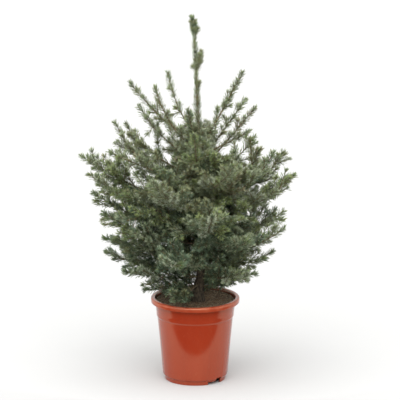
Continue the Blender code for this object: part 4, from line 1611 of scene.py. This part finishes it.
        dice = np.random.default_rng(self.filler_seed + index)
        begin = blend(first, self.filler_start, fullness)
        finish = 1.0 - self.terminal / reach
        count = round(reach * (finish - begin) * plus(self.fillers, fullness))
        draws = dice.uniform(-1.0, 1.0, (count, 6))
        order = np.arange(count)
        filled = begin + (finish - begin) * (order + 0.5 + self.filler_shift * draws[:, 0]) / count
        share = np.concatenate([share, filled])
        side = np.concatenate([side, np.where(order % 2, 1.0, -1.0)])
        angle = np.concatenate([angle, np.radians(plus(self.filler_angle, draws[:, 1]))])
        lift = np.concatenate([lift, plus(self.filler_lift, draws[:, 2]) - self.filler_sink * filled])
        turns = self.filler_turn + plus(self.filler_tilt, filled) * draws[:, 3]
        tilt = np.concatenate([np.zeros(self.main_shoots), np.radians(turns)])
        fill = plus(self.filler_size, fullness) * (1.0 + self.filler_uneven * draws[:, 4])
        size = np.concatenate([size, fill * plus(self.filler_shorter, filled)])

        which = np.full(len(share), index)
        along, root = axes.along(which, share), axes.at(which, share)
        sideways = between(normal * side[:, None], unit(np.cross(normal, along)), tilt)
        heading = unit(between(along, sideways, angle) + UP * lift[:, None])
        length = reach * self.side_share * slimness * size
        length = np.minimum(length, self.tip_shoot + self.tip_room * reach * (1.0 - share))
        return root, heading, self.held(root, heading, length)

    def inner(self) -> Shoots:
        """Short shoots from the trunk itself, all round and rising, which close the inside of the crown.

        Returns:
            The shoots.
        """
        dice = np.random.default_rng(self.seed + self.seed_steps[1])
        draws = dice.uniform(-1.0, 1.0, (self.inner_shoots, 4))
        z = plus(self.inner_z, (np.arange(self.inner_shoots) + 0.5) / self.inner_shoots)
        azimuth = np.arange(self.inner_shoots) * GOLDEN_ANGLE + self.inner_turn * draws[:, 0]
        rise = np.radians(plus(self.inner_rise, draws[:, 1])) * ramp(z, *self.inner_rise_z)
        outward = spokes(azimuth)
        shorter = 1.0 - self.inner_shorter * ramp(z, *self.inner_shorter_z)
        length = plus(self.inner_length, draws[:, 2]) * shorter
        root = self.trunk.centre(z) + outward * self.trunk.radius(z)[:, None] * ROOTED
        in_front = (-outward[:, 1] > self.front_facing) & (z < self.trunk_shown_z)
        return self.grown(root, between(outward, UP, rise), length, self.inner_bend, dice).taken(~in_front)

    def seen(self, axes: Shoots) -> tuple[Array, Array, Array]:
        """The side shoots that show in outline.

        Args:
            axes: every bough's axis.

        Returns:
            Roots, directions and lengths.
        """
        names = [bough.name for bough in self.boughs]
        rows = [(names.index(bough), *shoot) for bough, *shoots in SEEN_SHOOTS for shoot in shoots]
        which, share, *tip = np.array(rows).T
        root = axes.at(which.astype(int), share)
        run = np.stack(tip, axis=-1) / MILLIMETRES - root
        return root, unit(run), np.linalg.norm(run, axis=1)

    def open_views(self, shoots: Shoots) -> Shoots:
        """The shoots whose outer parts keep out of every opening, as seen from the front.

        Args:
            shoots: all the shoots.

        Returns:
            Those that stay.
        """
        which = np.arange(len(shoots.root))
        kept = np.ones(len(which), bool)
        edges = np.array(OPENINGS + FRONT_OPENINGS) / MILLIMETRES
        only_in_front = np.arange(len(edges)) >= len(OPENINGS)
        for share in self.judged_at:
            x, y, z = shoots.at(which, np.full(len(which), share)).T[:, :, None]
            up = z * math.cos(VIEW_RISE) + y * math.sin(VIEW_RISE)
            left, right, low, high = edges.T
            inside = (x > left) & (x < right) & (up > low) & (up < high)
            kept &= ~(inside & ((y < 0.0) | ~only_in_front)).any(axis=1)
        return shoots.taken(kept)

    def side_shoots(self, axes: Shoots) -> Shoots:
        """The side shoots of every bough, each bent gently upwards.

        Args:
            axes: every bough's axis.

        Returns:
            The side shoots.
        """
        rows = [self.from_bough(axes, index) for index in range(len(self.boughs))] + [self.seen(axes)]
        root, heading, length = (np.concatenate(column) for column in zip(*rows))
        dice = np.random.default_rng(self.seed + self.seed_steps[0])
        return self.grown(root, heading, length, self.shoot_bend, dice)

    def grown(self, root: Array, heading: Array, length: Array, bend: float, dice: Dice) -> Shoots:
        """Shoots from their roots, directions and lengths.

        Args:
            root: where they start.
            heading: their first directions.
            length: their lengths.
            bend: how far the tips turn up, as a share of the length.
            dice: random numbers.

        Returns:
            The shoots, with needles that suit their place in the crown.
        """
        count = len(root)
        drift = dice.normal(0.0, self.shoot_drift, (count, 3)) + UP * bend
        control = root + heading * length[:, None] * 0.5
        tip = root + heading * length[:, None] + drift * length[:, None]
        fullness = self.fullness(tip[:, 2] - self.shoot_rise)
        return Shoots(
            root,
            control,
            tip,
            plus(self.shoot_foot, length),
            np.full(count, self.shoot_tip),
            np.full(count, self.shoot_clothed_from),
            plus(self.shoot_needle, fullness) * dice.uniform(*self.needle_range, count),
            np.radians(plus(self.shoot_lean, dice.uniform(-1, 1, count))),
            plus(self.shoot_density, fullness) + self.density_spread * dice.uniform(-1, 1, count),
            self.palette.deal(tip, dice.uniform(size=count)),
        )

    def twigs(self, sides: Shoots) -> Shoots:
        """Finer twigs that take turns along the longer side shoots, shorter towards their tips.

        Args:
            sides: the side shoots.

        Returns:
            The twigs.
        """
        dice = np.random.default_rng(self.seed + self.seed_steps[2])
        lengths = sides.length()
        counts = np.round(lengths * self.twig_stretch / self.twig_pitch)
        which, rank = dealt(np.where(lengths > self.twig_bearing, counts, 0).astype(int))
        draws = dice.uniform(-1.0, 1.0, (len(which), 6))
        first, run = self.twig_shares
        share = first + run * (rank + 0.5 + self.twig_shift * draws[:, 0]) / counts[which]
        along = sides.along(which, share)
        level = unit(np.cross(UP, along))
        side = np.where((rank + which) % 2, 1.0, -1.0)
        tilt = np.radians(plus(self.twig_tilt, draws[:, 1]))
        angle = np.radians(plus(self.twig_angle, draws[:, 2]))
        lift = plus(self.twig_lift, draws[:, 3])
        sideways = between(level * side[:, None], np.cross(along, level), tilt)
        heading = unit(between(along, sideways, angle) + UP * lift[:, None])
        length = lengths[which] * self.twig_share * plus(self.twig_shortening, share)
        length = length * (1.0 + self.twig_uneven * draws[:, 4])
        length = np.minimum(length, self.twig_most * (1.0 + self.twig_most_uneven * draws[:, 4]))
        root = sides.at(which, share)
        length = self.held(root, heading, length)
        grown = self.grown(root, heading, length, self.twig_bend, dice)
        inherits = draws[:, 5] < self.inherits_below
        grown.shade = np.where(inherits, sides.shade[which], grown.shade)
        return grown.taken(length > self.twig_least)


@dataclass
class Leader:
    """The trunk's needle-clad top: stacked stretches with close needles, a club at the tip and short shoots.

    The rows give, at some heights, the angle between needles and trunk in degrees and the needles per metre.
    A row of the shoots is foot height, azimuth, length and lean, with both angles in degrees.
    """

    trunk: Trunk
    foot_z: float = 0.460
    stretches: int = 48
    ripple: float = 6.0
    ripple_step: float = 2.3
    club_z: float = 0.776
    club_spread: float = 0.017
    rows: tuple = (
        (0.460, 46, 3900),
        (0.567, 45, 4300),
        (0.600, 42, 4000),
        (0.628, 38, 3300),
        (0.645, 24, 2200),
        (0.668, 28, 2400),
        (0.700, 36, 3200),
        (0.720, 38, 3200),
        (0.738, 22, 2600),
        (0.752, 34, 4000),
        (0.760, 44, 7000),
        (0.770, 50, 9000),
        (0.777, 55, 9500),
        (0.783, 40, 9500),
        (0.787, 14, 7000),
        (0.789, 4, 5000),
    )
    shoots: tuple = (
        (0.672, 5, 0.047, 12),
        (0.678, -40, 0.036, 13),
        (0.677, 170, 0.010, 34),
        (0.640, -12, 0.012, 22),
        (0.754, 15, 0.015, 26),
    )
    shades: tuple = ("SAGE", "SILVER", "GREY_GREEN", "SAGE", "OLIVE", "SILVER")
    club_shades: tuple = ("GREY_GREEN", "FOREST", "OLIVE", "FOREST", "OLIVE", "FOREST")
    club_from: float = 0.756
    needle: tuple = (0.0122, 0.0008)
    shoot_bulge: float = 0.07
    shoot_foot: float = 0.0011
    shoot_tip: float = 0.0007
    shoot_clothed_from: float = 0.05
    shoot_needle: float = 0.0112
    shoot_lean: float = 42.0
    shoot_density: float = 3300.0
    shoot_shade: Shade = Shade.OLIVE

    def stem(self) -> Shoots:
        """The trunk's top as short stretches, whose needles follow the rows of leans.

        Returns:
            The stretches.
        """
        z = np.linspace(self.foot_z, self.trunk.tip_z, self.stretches + 1)
        low, high = self.trunk.centre(z[:-1]), self.trunk.centre(z[1:])
        height = (z[:-1] + z[1:]) / 2
        club = hill((height - self.club_z) / self.club_spread)
        heights, leans, densities = np.array(self.rows).T
        count = self.stretches
        ripple = self.ripple * np.sin(self.ripple_step * np.arange(count))
        shades = np.array([[Shade[name].number for name in row] for row in (self.shades, self.club_shades)])
        return Shoots(
            low,
            self.trunk.centre(height) * 2 - (low + high) / 2,
            high,
            self.trunk.radius(z[:-1]),
            self.trunk.radius(z[1:]),
            np.zeros(count),
            plus(self.needle, club),
            np.radians(np.interp(height, heights, leans) + ripple * (height < self.club_from)),
            np.interp(height, heights, densities),
            shades[(height > self.club_from).astype(int), np.arange(count) % len(self.shades)],
        )

    def beside(self) -> Shoots:
        """The short shoots that stand beside the leader.

        Returns:
            The shoots.
        """
        foot_z, azimuth, length, lean = np.array(self.shoots).T
        outward = spokes(np.radians(azimuth))
        heading = between(UP, outward, np.radians(lean))
        root = self.trunk.centre(foot_z) + outward * self.trunk.radius(foot_z)[:, None] * ROOTED
        bulge = outward * (self.shoot_bulge * length)[:, None]
        control = root + heading * (length / 2)[:, None] + bulge
        alike = (
            self.shoot_foot,
            self.shoot_tip,
            self.shoot_clothed_from,
            self.shoot_needle,
            math.radians(self.shoot_lean),
            self.shoot_density,
            self.shoot_shade.number,
        )
        same = (np.full(len(root), value) for value in alike)
        return Shoots(root, control, root + heading * length[:, None], *same)


# Needles


@dataclass
class Needles(Rows):
    """Needles as arrays: where each starts, where it points, which way it is wide, its length and its shade.

    Width, thickness, the widest place and the curl go by a needle's length.
    """

    root: Array
    heading: Array
    width: Array
    length: Array
    shade: Array
    half_width: float = 0.070
    thickness: float = 0.045
    widest_at: float = 0.62
    sunk: float = 0.0008
    curl: float = 0.05

    def shape(self) -> Shape:
        """The needles as closed blades with a flat underside and a ridge.

        Each has its root, three points round the widest place, and a tip that curls a little to the shoot.

        Returns:
            One shape that holds every needle.
        """
        ridge = np.cross(self.heading, self.width)
        long = self.length[:, None]
        waist = self.root + self.heading * long * self.widest_at
        cages = np.stack(
            [
                self.root - self.heading * self.sunk,
                waist + self.width * long * self.half_width,
                waist + ridge * long * self.thickness,
                waist - self.width * long * self.half_width,
                self.root + self.heading * long - ridge * long * self.curl,
            ],
            axis=1,
        )
        faces = np.array([[0, 2, 1], [0, 3, 2], [0, 1, 3], [4, 1, 2], [4, 2, 3], [4, 3, 1]])
        return Shape.copies(cages, faces)


@dataclass
class Foliage:
    """Everything fine in the crown: the twigs' wood, their buds, and the needles, in pieces by shade."""

    trunk: Trunk
    pot: Pot
    growth: Growth
    leader: Leader
    piece_limit: int = 30000
    tuft: int = 14
    tuft_depth: float = 0.0035
    tip_tuft: int = 40
    tip_tuft_depth: float = 0.013
    tip_shades: tuple = (Shade.FOREST, Shade.MOSS, Shade.GREY_GREEN)
    closing: float = 0.22
    closing_length: float = 0.006
    seat: float = 0.7
    crowding: float = 0.76
    rhythm: float = 0.045
    rhythm_depth: float = 0.5
    parting: float = 0.26
    underside_lean: float = 9.0
    lean_spread: float = 0.14
    size_range: tuple = (0.80, 1.12)
    tuft_turn: float = 0.6
    tuft_opening: float = 0.7
    tuft_lean_spread: float = 0.09
    tuft_size_range: tuple = (0.78, 1.0)
    upright: float = 0.97
    twist: float = 0.35
    stray: float = 0.45
    clearance: float = 0.001
    seed: int = 77
    sway: float = 0.0030
    sway_pitch: float = 0.055
    sway_seeds: tuple = (61, 62, 63)
    sway_reach: tuple = (0.015, 0.095)
    bud_radii: tuple = (0.0011, 0.0012, 0.0006)
    bud_steps: tuple = (-0.0004, 0.0012, 0.0028)
    bough_wood: tuple = (30, 12, 0.10)
    side_wood: tuple = (6, 5, 0.08)
    twig_wood: tuple = (4, 4, 0.08)
    bough_bark: Bark = Bark("bough_bark", (62, 54, 42), (108, 98, 76), (138, 126, 102))
    twig_bark: PlainGrowth = PlainGrowth("twig_bark", (112, 104, 74), 0.7, 0.9, 0.3)
    bud_scale: PlainGrowth = PlainGrowth("bud_scale", (126, 92, 58), 0.5, 0.7)

    def swayed(self, points: Array) -> Array:
        """The points moved by slow noise, which fades to nothing at the trunk, so that no limb is straight.

        Args:
            points: points of wood or needles, one row each.

        Returns:
            The moved points.
        """
        places = points / self.sway_pitch
        offsets = np.stack([speckle(places, seed) for seed in self.sway_seeds], axis=-1) - 0.5
        reach = np.hypot(points[:, 0], points[:, 1])[:, None]
        return points + 2 * self.sway * offsets * ramp(reach, *self.sway_reach)

    def clothed(self, shoots: Shoots, dice: Dice) -> Needles:
        """Needles along the shoots: turned by the golden angle, parted below, closer and wider at the tips.

        Args:
            shoots: the shoots.
            dice: random numbers.

        Returns:
            The needles.
        """
        lengths = shoots.length()
        counts = np.round(lengths * (1.0 - shoots.clothed_from) * shoots.density).astype(int)
        which, rank = dealt(counts)
        spread = (rank + dice.uniform(0.0, 1.0, len(which))) / counts[which]
        bare = shoots.clothed_from[which]
        share = bare + (1.0 - bare) * spread**self.crowding
        cycles = math.tau * np.round(lengths[which] / self.rhythm)
        share = share + self.rhythm_depth * np.sin(cycles * share) / np.maximum(cycles, 1.0)
        along = shoots.along(which, share)
        phase = dice.uniform(0.0, math.tau, len(counts))
        azimuth = (rank * GOLDEN_ANGLE + phase[which]) % math.tau - math.pi
        level = 1.0 - np.abs(along[:, 2])
        azimuth = azimuth * (1.0 - self.parting * level * (1.0 - np.cos(azimuth)) / 2)
        to_tip = (1.0 - share) * lengths[which]
        closing = self.closing * (lengths > 2 * self.closing_length)
        lean = shoots.lean[which] * (1.0 - closing[which] * hill(to_tip / self.closing_length))
        lean = lean - math.radians(self.underside_lean) * level * np.cos(azimuth)
        lean = lean + dice.normal(0.0, self.lean_spread, len(which))
        size = shoots.needle_length[which] * dice.uniform(*self.size_range, len(which))
        root = shoots.at(which, share)
        depth = blend(shoots.foot_radius[which], shoots.tip_radius[which], share)
        return self.placed(root, along, azimuth, lean, size, shoots.shade[which], dice, depth * self.seat)

    def tufts(self, shoots: Shoots, dice: Dice, count: int, depth: float) -> Needles:
        """The needles that close round the bud at each shoot's tip, more upright than the rest.

        Args:
            shoots: the shoots.
            dice: random numbers.
            count: how many needles each shoot gets.
            depth: how far back from the tip they start.

        Returns:
            The needles.
        """
        which = np.repeat(np.arange(len(shoots.root)), count)
        rank = np.tile(np.arange(count), len(shoots.root))
        share = 1.0 - depth * dice.uniform(0.0, 1.0, len(which)) / shoots.length()[which]
        azimuth = rank * GOLDEN_ANGLE + dice.uniform(0.0, self.tuft_turn, len(which))
        lean = shoots.lean[which] * (rank / count) ** self.tuft_opening
        lean = lean + dice.normal(0.0, self.tuft_lean_spread, len(which))
        size = shoots.needle_length[which] * dice.uniform(*self.tuft_size_range, len(which))
        along = shoots.along(which, share)
        return self.placed(shoots.at(which, share), along, azimuth, lean, size, shoots.shade[which], dice)

    def placed(
        self,
        root: Array,
        along: Array,
        azimuth: Array,
        lean: Array,
        length: Array,
        shade: Array,
        dice: Dice,
        seat: Array | float = 0.0,
    ) -> Needles:
        """Needles from their places on the shoots.

        Args:
            root: points on the shoots' axes.
            along: the shoots' directions there.
            azimuth: the angle round the shoot, from upwards.
            lean: the angle between needle and shoot.
            length: the needles' lengths.
            shade: the sprays' shades.
            dice: random numbers.
            seat: how far out of the axis they start.

        Returns:
            The needles, a share of them in a shade of their own and not their spray's.
        """
        reference = np.where(np.abs(along[:, 2:]) > self.upright, [0.0, 1.0, 0.0], UP)
        side = unit(np.cross(along, reference))
        radial = between(np.cross(side, along), side, azimuth)
        heading = unit(between(along, radial, lean))
        width = unit(np.cross(radial, along) + dice.normal(0.0, self.twist, root.shape))
        width = unit(width - heading * (width * heading).sum(axis=1, keepdims=True))
        strays = dice.uniform(size=len(root)) < self.stray
        other = self.growth.palette.deal(root, dice.uniform(size=len(root)))
        root = root + radial * np.reshape(seat, (-1, 1))
        return Needles(root, heading, width, length, np.where(strays, other, shade))

    def clear(self, needles: Needles) -> Needles:
        """The needles that stay out of the trunk and of the pot's mouth.

        Args:
            needles: all the needles.

        Returns:
            Those whose tips are clear of both.
        """
        tip = needles.root + needles.heading * needles.length[:, None]
        over_pot = np.hypot(tip[:, 0], tip[:, 1]) < self.pot.lip_radius + self.clearance
        in_pot = over_pot & (tip[:, 2] < self.pot.height + self.clearance)
        off_axis = np.linalg.norm((tip - self.trunk.centre(tip[:, 2]))[:, :2], axis=1)
        in_trunk = off_axis < self.trunk.radius(tip[:, 2])
        return needles.taken(~(in_pot | in_trunk))

    def buds(self, shoots: Shoots) -> Shape:
        """Buds at the shoots' tips: three small rings that point onward, closed by a cone at each end.

        Args:
            shoots: the shoots.

        Returns:
            All the buds.
        """
        which = np.arange(len(shoots.root))
        along = shoots.along(which, np.ones(len(which)))
        radii = np.tile(self.bud_radii, (len(which), 1))
        steps = np.array(self.bud_steps)[None, :, None]
        return tubes(shoots.tip[:, None] + along[:, None] * steps, radii, 4)

    def dress(self) -> list[Piece]:
        """Grow the crown and make its pieces.

        Returns:
            Bough wood, side twigs, fine twigs, buds, and the needles by shade.
        """
        axes = self.growth.axes()
        sides = self.growth.side_shoots(axes)
        sides = self.growth.open_views(Shoots.joined([sides, self.growth.inner()]))
        twigs = self.growth.open_views(self.growth.twigs(sides))
        stem, beside = self.leader.stem(), self.leader.beside()
        fine = Shoots.joined([sides, twigs, beside])
        metres = [float(group.length().sum()) for group in (axes, sides, twigs)]
        log.info("boughs %.1f m, side shoots %.1f m, twigs %.1f m", *metres)
        dice = np.random.default_rng(self.seed)
        clothed = self.clothed(Shoots.joined([axes, fine, stem]), dice)
        topped = Shoots.joined([fine, stem.taken(np.array([-1]))])
        tufts = self.tufts(topped, dice, self.tuft, self.tuft_depth)
        numbers = np.array([shade.number for shade in self.tip_shades])
        tips = dataclasses.replace(axes, shade=numbers[np.arange(len(axes.root)) % len(numbers)])
        tip_tufts = self.tufts(tips, dice, self.tip_tuft, self.tip_tuft_depth)
        needles = self.clear(Needles.joined([clothed, tufts, tip_tufts]))
        log.info("%d side shoots, %d twigs, %d needles", len(sides.root), len(twigs.root), len(needles.root))

        boughs = self.piece("bough_bark", axes.wood(*self.bough_wood), self.bough_bark.material(), "bark")
        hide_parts(*sorted(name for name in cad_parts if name.startswith("limb_")))
        side_wood = Shoots.joined([sides, beside]).wood(*self.side_wood)
        bark = self.twig_bark.material()
        made = [
            self.piece("side_twigs", side_wood, bark, "bark"),
            self.piece("fine_twigs", twigs.wood(*self.twig_wood), bark, "bark"),
        ]
        buds = self.buds(Shoots.joined([axes, sides, beside]))
        made.append(self.piece("buds", buds, self.bud_scale.material(), "bark"))
        for shade in Shade:
            material = PlainGrowth(f"needles_{shade.label}", shade.value).material()
            picked = np.flatnonzero(needles.shade == shade.number)
            parts = np.array_split(picked, max(1, math.ceil(len(picked) / self.piece_limit)))
            for number, part in enumerate(parts, start=1):
                name = f"needles_{shade.label}_{number}"
                made.append(self.piece(name, needles.taken(part).shape(), material, "needles"))
        masses = sorted(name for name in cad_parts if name.startswith("foliage_"))
        for piece in made:
            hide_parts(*masses)
        return [boughs, *made]

    def piece(self, name: str, shape: Shape, material: Material, slot: str) -> Piece:
        """One joined piece of the crown, swayed like the rest.

        Args:
            name: its name.
            shape: its shape before the sway.
            material: its finish.
            slot: the record's material slot, not used.

        Returns:
            The piece.
        """
        shape.points = self.swayed(shape.points)
        made = shape.piece(name, material)
        return made


@dataclass
class TrunkBark:
    """The trunk's bark, with a collar at the foot of each bough."""

    trunk: Trunk
    boughs: list[Bough]
    collar_lift: float = 0.002
    finish: Bark = Bark("trunk_bark", (30, 25, 20), (68, 60, 48), (96, 86, 70))

    def dress(self) -> list[Piece]:
        """Build the bark.

        Returns:
            The bark, as one piece.
        """
        collars = np.array([bough.foot_z for bough in self.boughs]) + self.collar_lift
        tips = np.array([bough.tip for bough in self.boughs])
        headings = np.arctan2(tips[:, 1], tips[:, 0])
        made = self.trunk.bark(collars, headings).piece("trunk_bark", self.finish.material())
        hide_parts("trunk")
        return [made]


# Studio


@dataclass
class Studio:
    """A pale floor under a white sky, one soft sun, a dark card for the pot to reflect, and the camera."""

    aim: Place = (0.0102, 0.0, 0.3933)
    distance: float = 14.0
    view_width: float = 0.8512
    sensor: float = 36.0
    floor_size: float = 40.0
    floor_tones: tuple = ((180, 180, 179), (184, 184, 183))
    card_tones: tuple = ((4, 4, 4), (6, 6, 6))
    card_width: float = 1.5
    card_strips: int = 60
    card_spread: float = 8.0
    card_edge_y: float = -0.205
    card_curve: float = 0.72
    card_z: float = 0.002
    sky: float = 1.05
    sun: float = 4.2
    sun_softness: float = 75.0
    sun_from: Place = (-0.10, -0.50, 1.0)

    def camera(self) -> None:
        """A camera in front and above, whose frame is as wide as the view at the aim."""
        data = bpy.data.cameras.new("camera")
        data.sensor_width = self.sensor
        data.lens = self.sensor * self.distance / self.view_width
        data.clip_end = 100.0
        made = linked("camera", data)
        back = np.array([0.0, -math.cos(VIEW_RISE), math.sin(VIEW_RISE)])
        made.location = np.array(self.aim) + back * self.distance
        made.rotation_euler = (math.pi / 2 - VIEW_RISE, 0.0, 0.0)
        bpy.context.scene.camera = made

    def plain(self, name: str, tones: tuple[Tone, Tone]) -> Paint:
        """A finish that wavers between two tones.

        Args:
            name: the last word of the material's name.
            tones: the darker tone, then the lighter.

        Returns:
            The finish, to be completed.
        """
        paint = Paint(f"studio_{name}")
        paint.feed("Base Color", paint.tones(paint.noise(3.0), list(zip((0.0, 1.0), tones))))
        return paint

    def floor(self) -> None:
        """A square floor, centred under the pot."""
        half = self.floor_size / 2
        points = np.array([(-half, -half, 0.0), (half, -half, 0.0), (half, half, 0.0), (-half, half, 0.0)])
        paint = self.plain("floor", self.floor_tones)
        paint.hold("Roughness", 0.9)
        Shape(points, np.array([[0, 1, 2, 3]])).piece("floor", paint.material)

    def card(self) -> None:
        """A dark card that only reflections see, with a parabola for its edge in front of the pot."""
        paint = self.plain("card", self.card_tones)
        paint.hold("Specular IOR Level", 0.0)
        half = self.card_width / 2
        x = np.linspace(-half, half, self.card_strips + 1)
        edge = np.stack([x, self.card_edge_y + self.card_curve * x**2, 0 * x + self.card_z], axis=-1)
        far = np.stack([x * self.card_spread, 0 * x - self.floor_size / 4, edge[:, 2]], axis=-1)
        step = np.arange(self.card_strips)
        across = step + self.card_strips + 1
        strips = np.stack([step, across, across + 1, step + 1], axis=-1)
        made = Shape(np.concatenate([edge, far]), strips).piece("card", paint.material)
        made.visible_camera = False
        made.visible_diffuse = False
        made.visible_shadow = False

    def daylight(self) -> None:
        """A broad soft sun from in front, above and a little to the left."""
        data = bpy.data.lights.new("key_light", "SUN")
        data.energy = self.sun
        data.angle = math.radians(self.sun_softness)
        x, y, z = self.sun_from
        turn = (0.0, math.atan2(math.hypot(x, y), z), math.atan2(y, x))
        linked("key_light", data).rotation_euler = turn

    def dress(self) -> None:
        """Set up the studio."""
        world = bpy.data.worlds.new("studio")
        world.use_nodes = True
        world.node_tree.nodes["Background"].inputs["Color"].default_value = (1.0, 1.0, 1.0, 1.0)
        world.node_tree.nodes["Background"].inputs["Strength"].default_value = self.sky
        bpy.context.scene.world = world
        bpy.context.scene.view_settings.view_transform = "Standard"
        self.floor()
        self.card()
        self.daylight()
        self.camera()


def main() -> None:
    """Build every sub-assembly in order and report each piece."""
    logging.basicConfig(level=logging.INFO, format="%(name)s: %(message)s")
    pot = Pot()
    trunk = Trunk()
    boughs = all_boughs()
    assemblies = (
        pot,
        Soil(pot),
        TrunkBark(trunk, boughs),
        Foliage(trunk, pot, Growth(trunk, boughs), Leader(trunk)),
    )
    for assembly in assemblies:
        for piece in assembly.dress():
            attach(piece, BODY)
            log.info("%s: %d faces", piece.name, len(piece.data.polygons))
    Studio().dress()


if __name__ == "__main__":
    main()
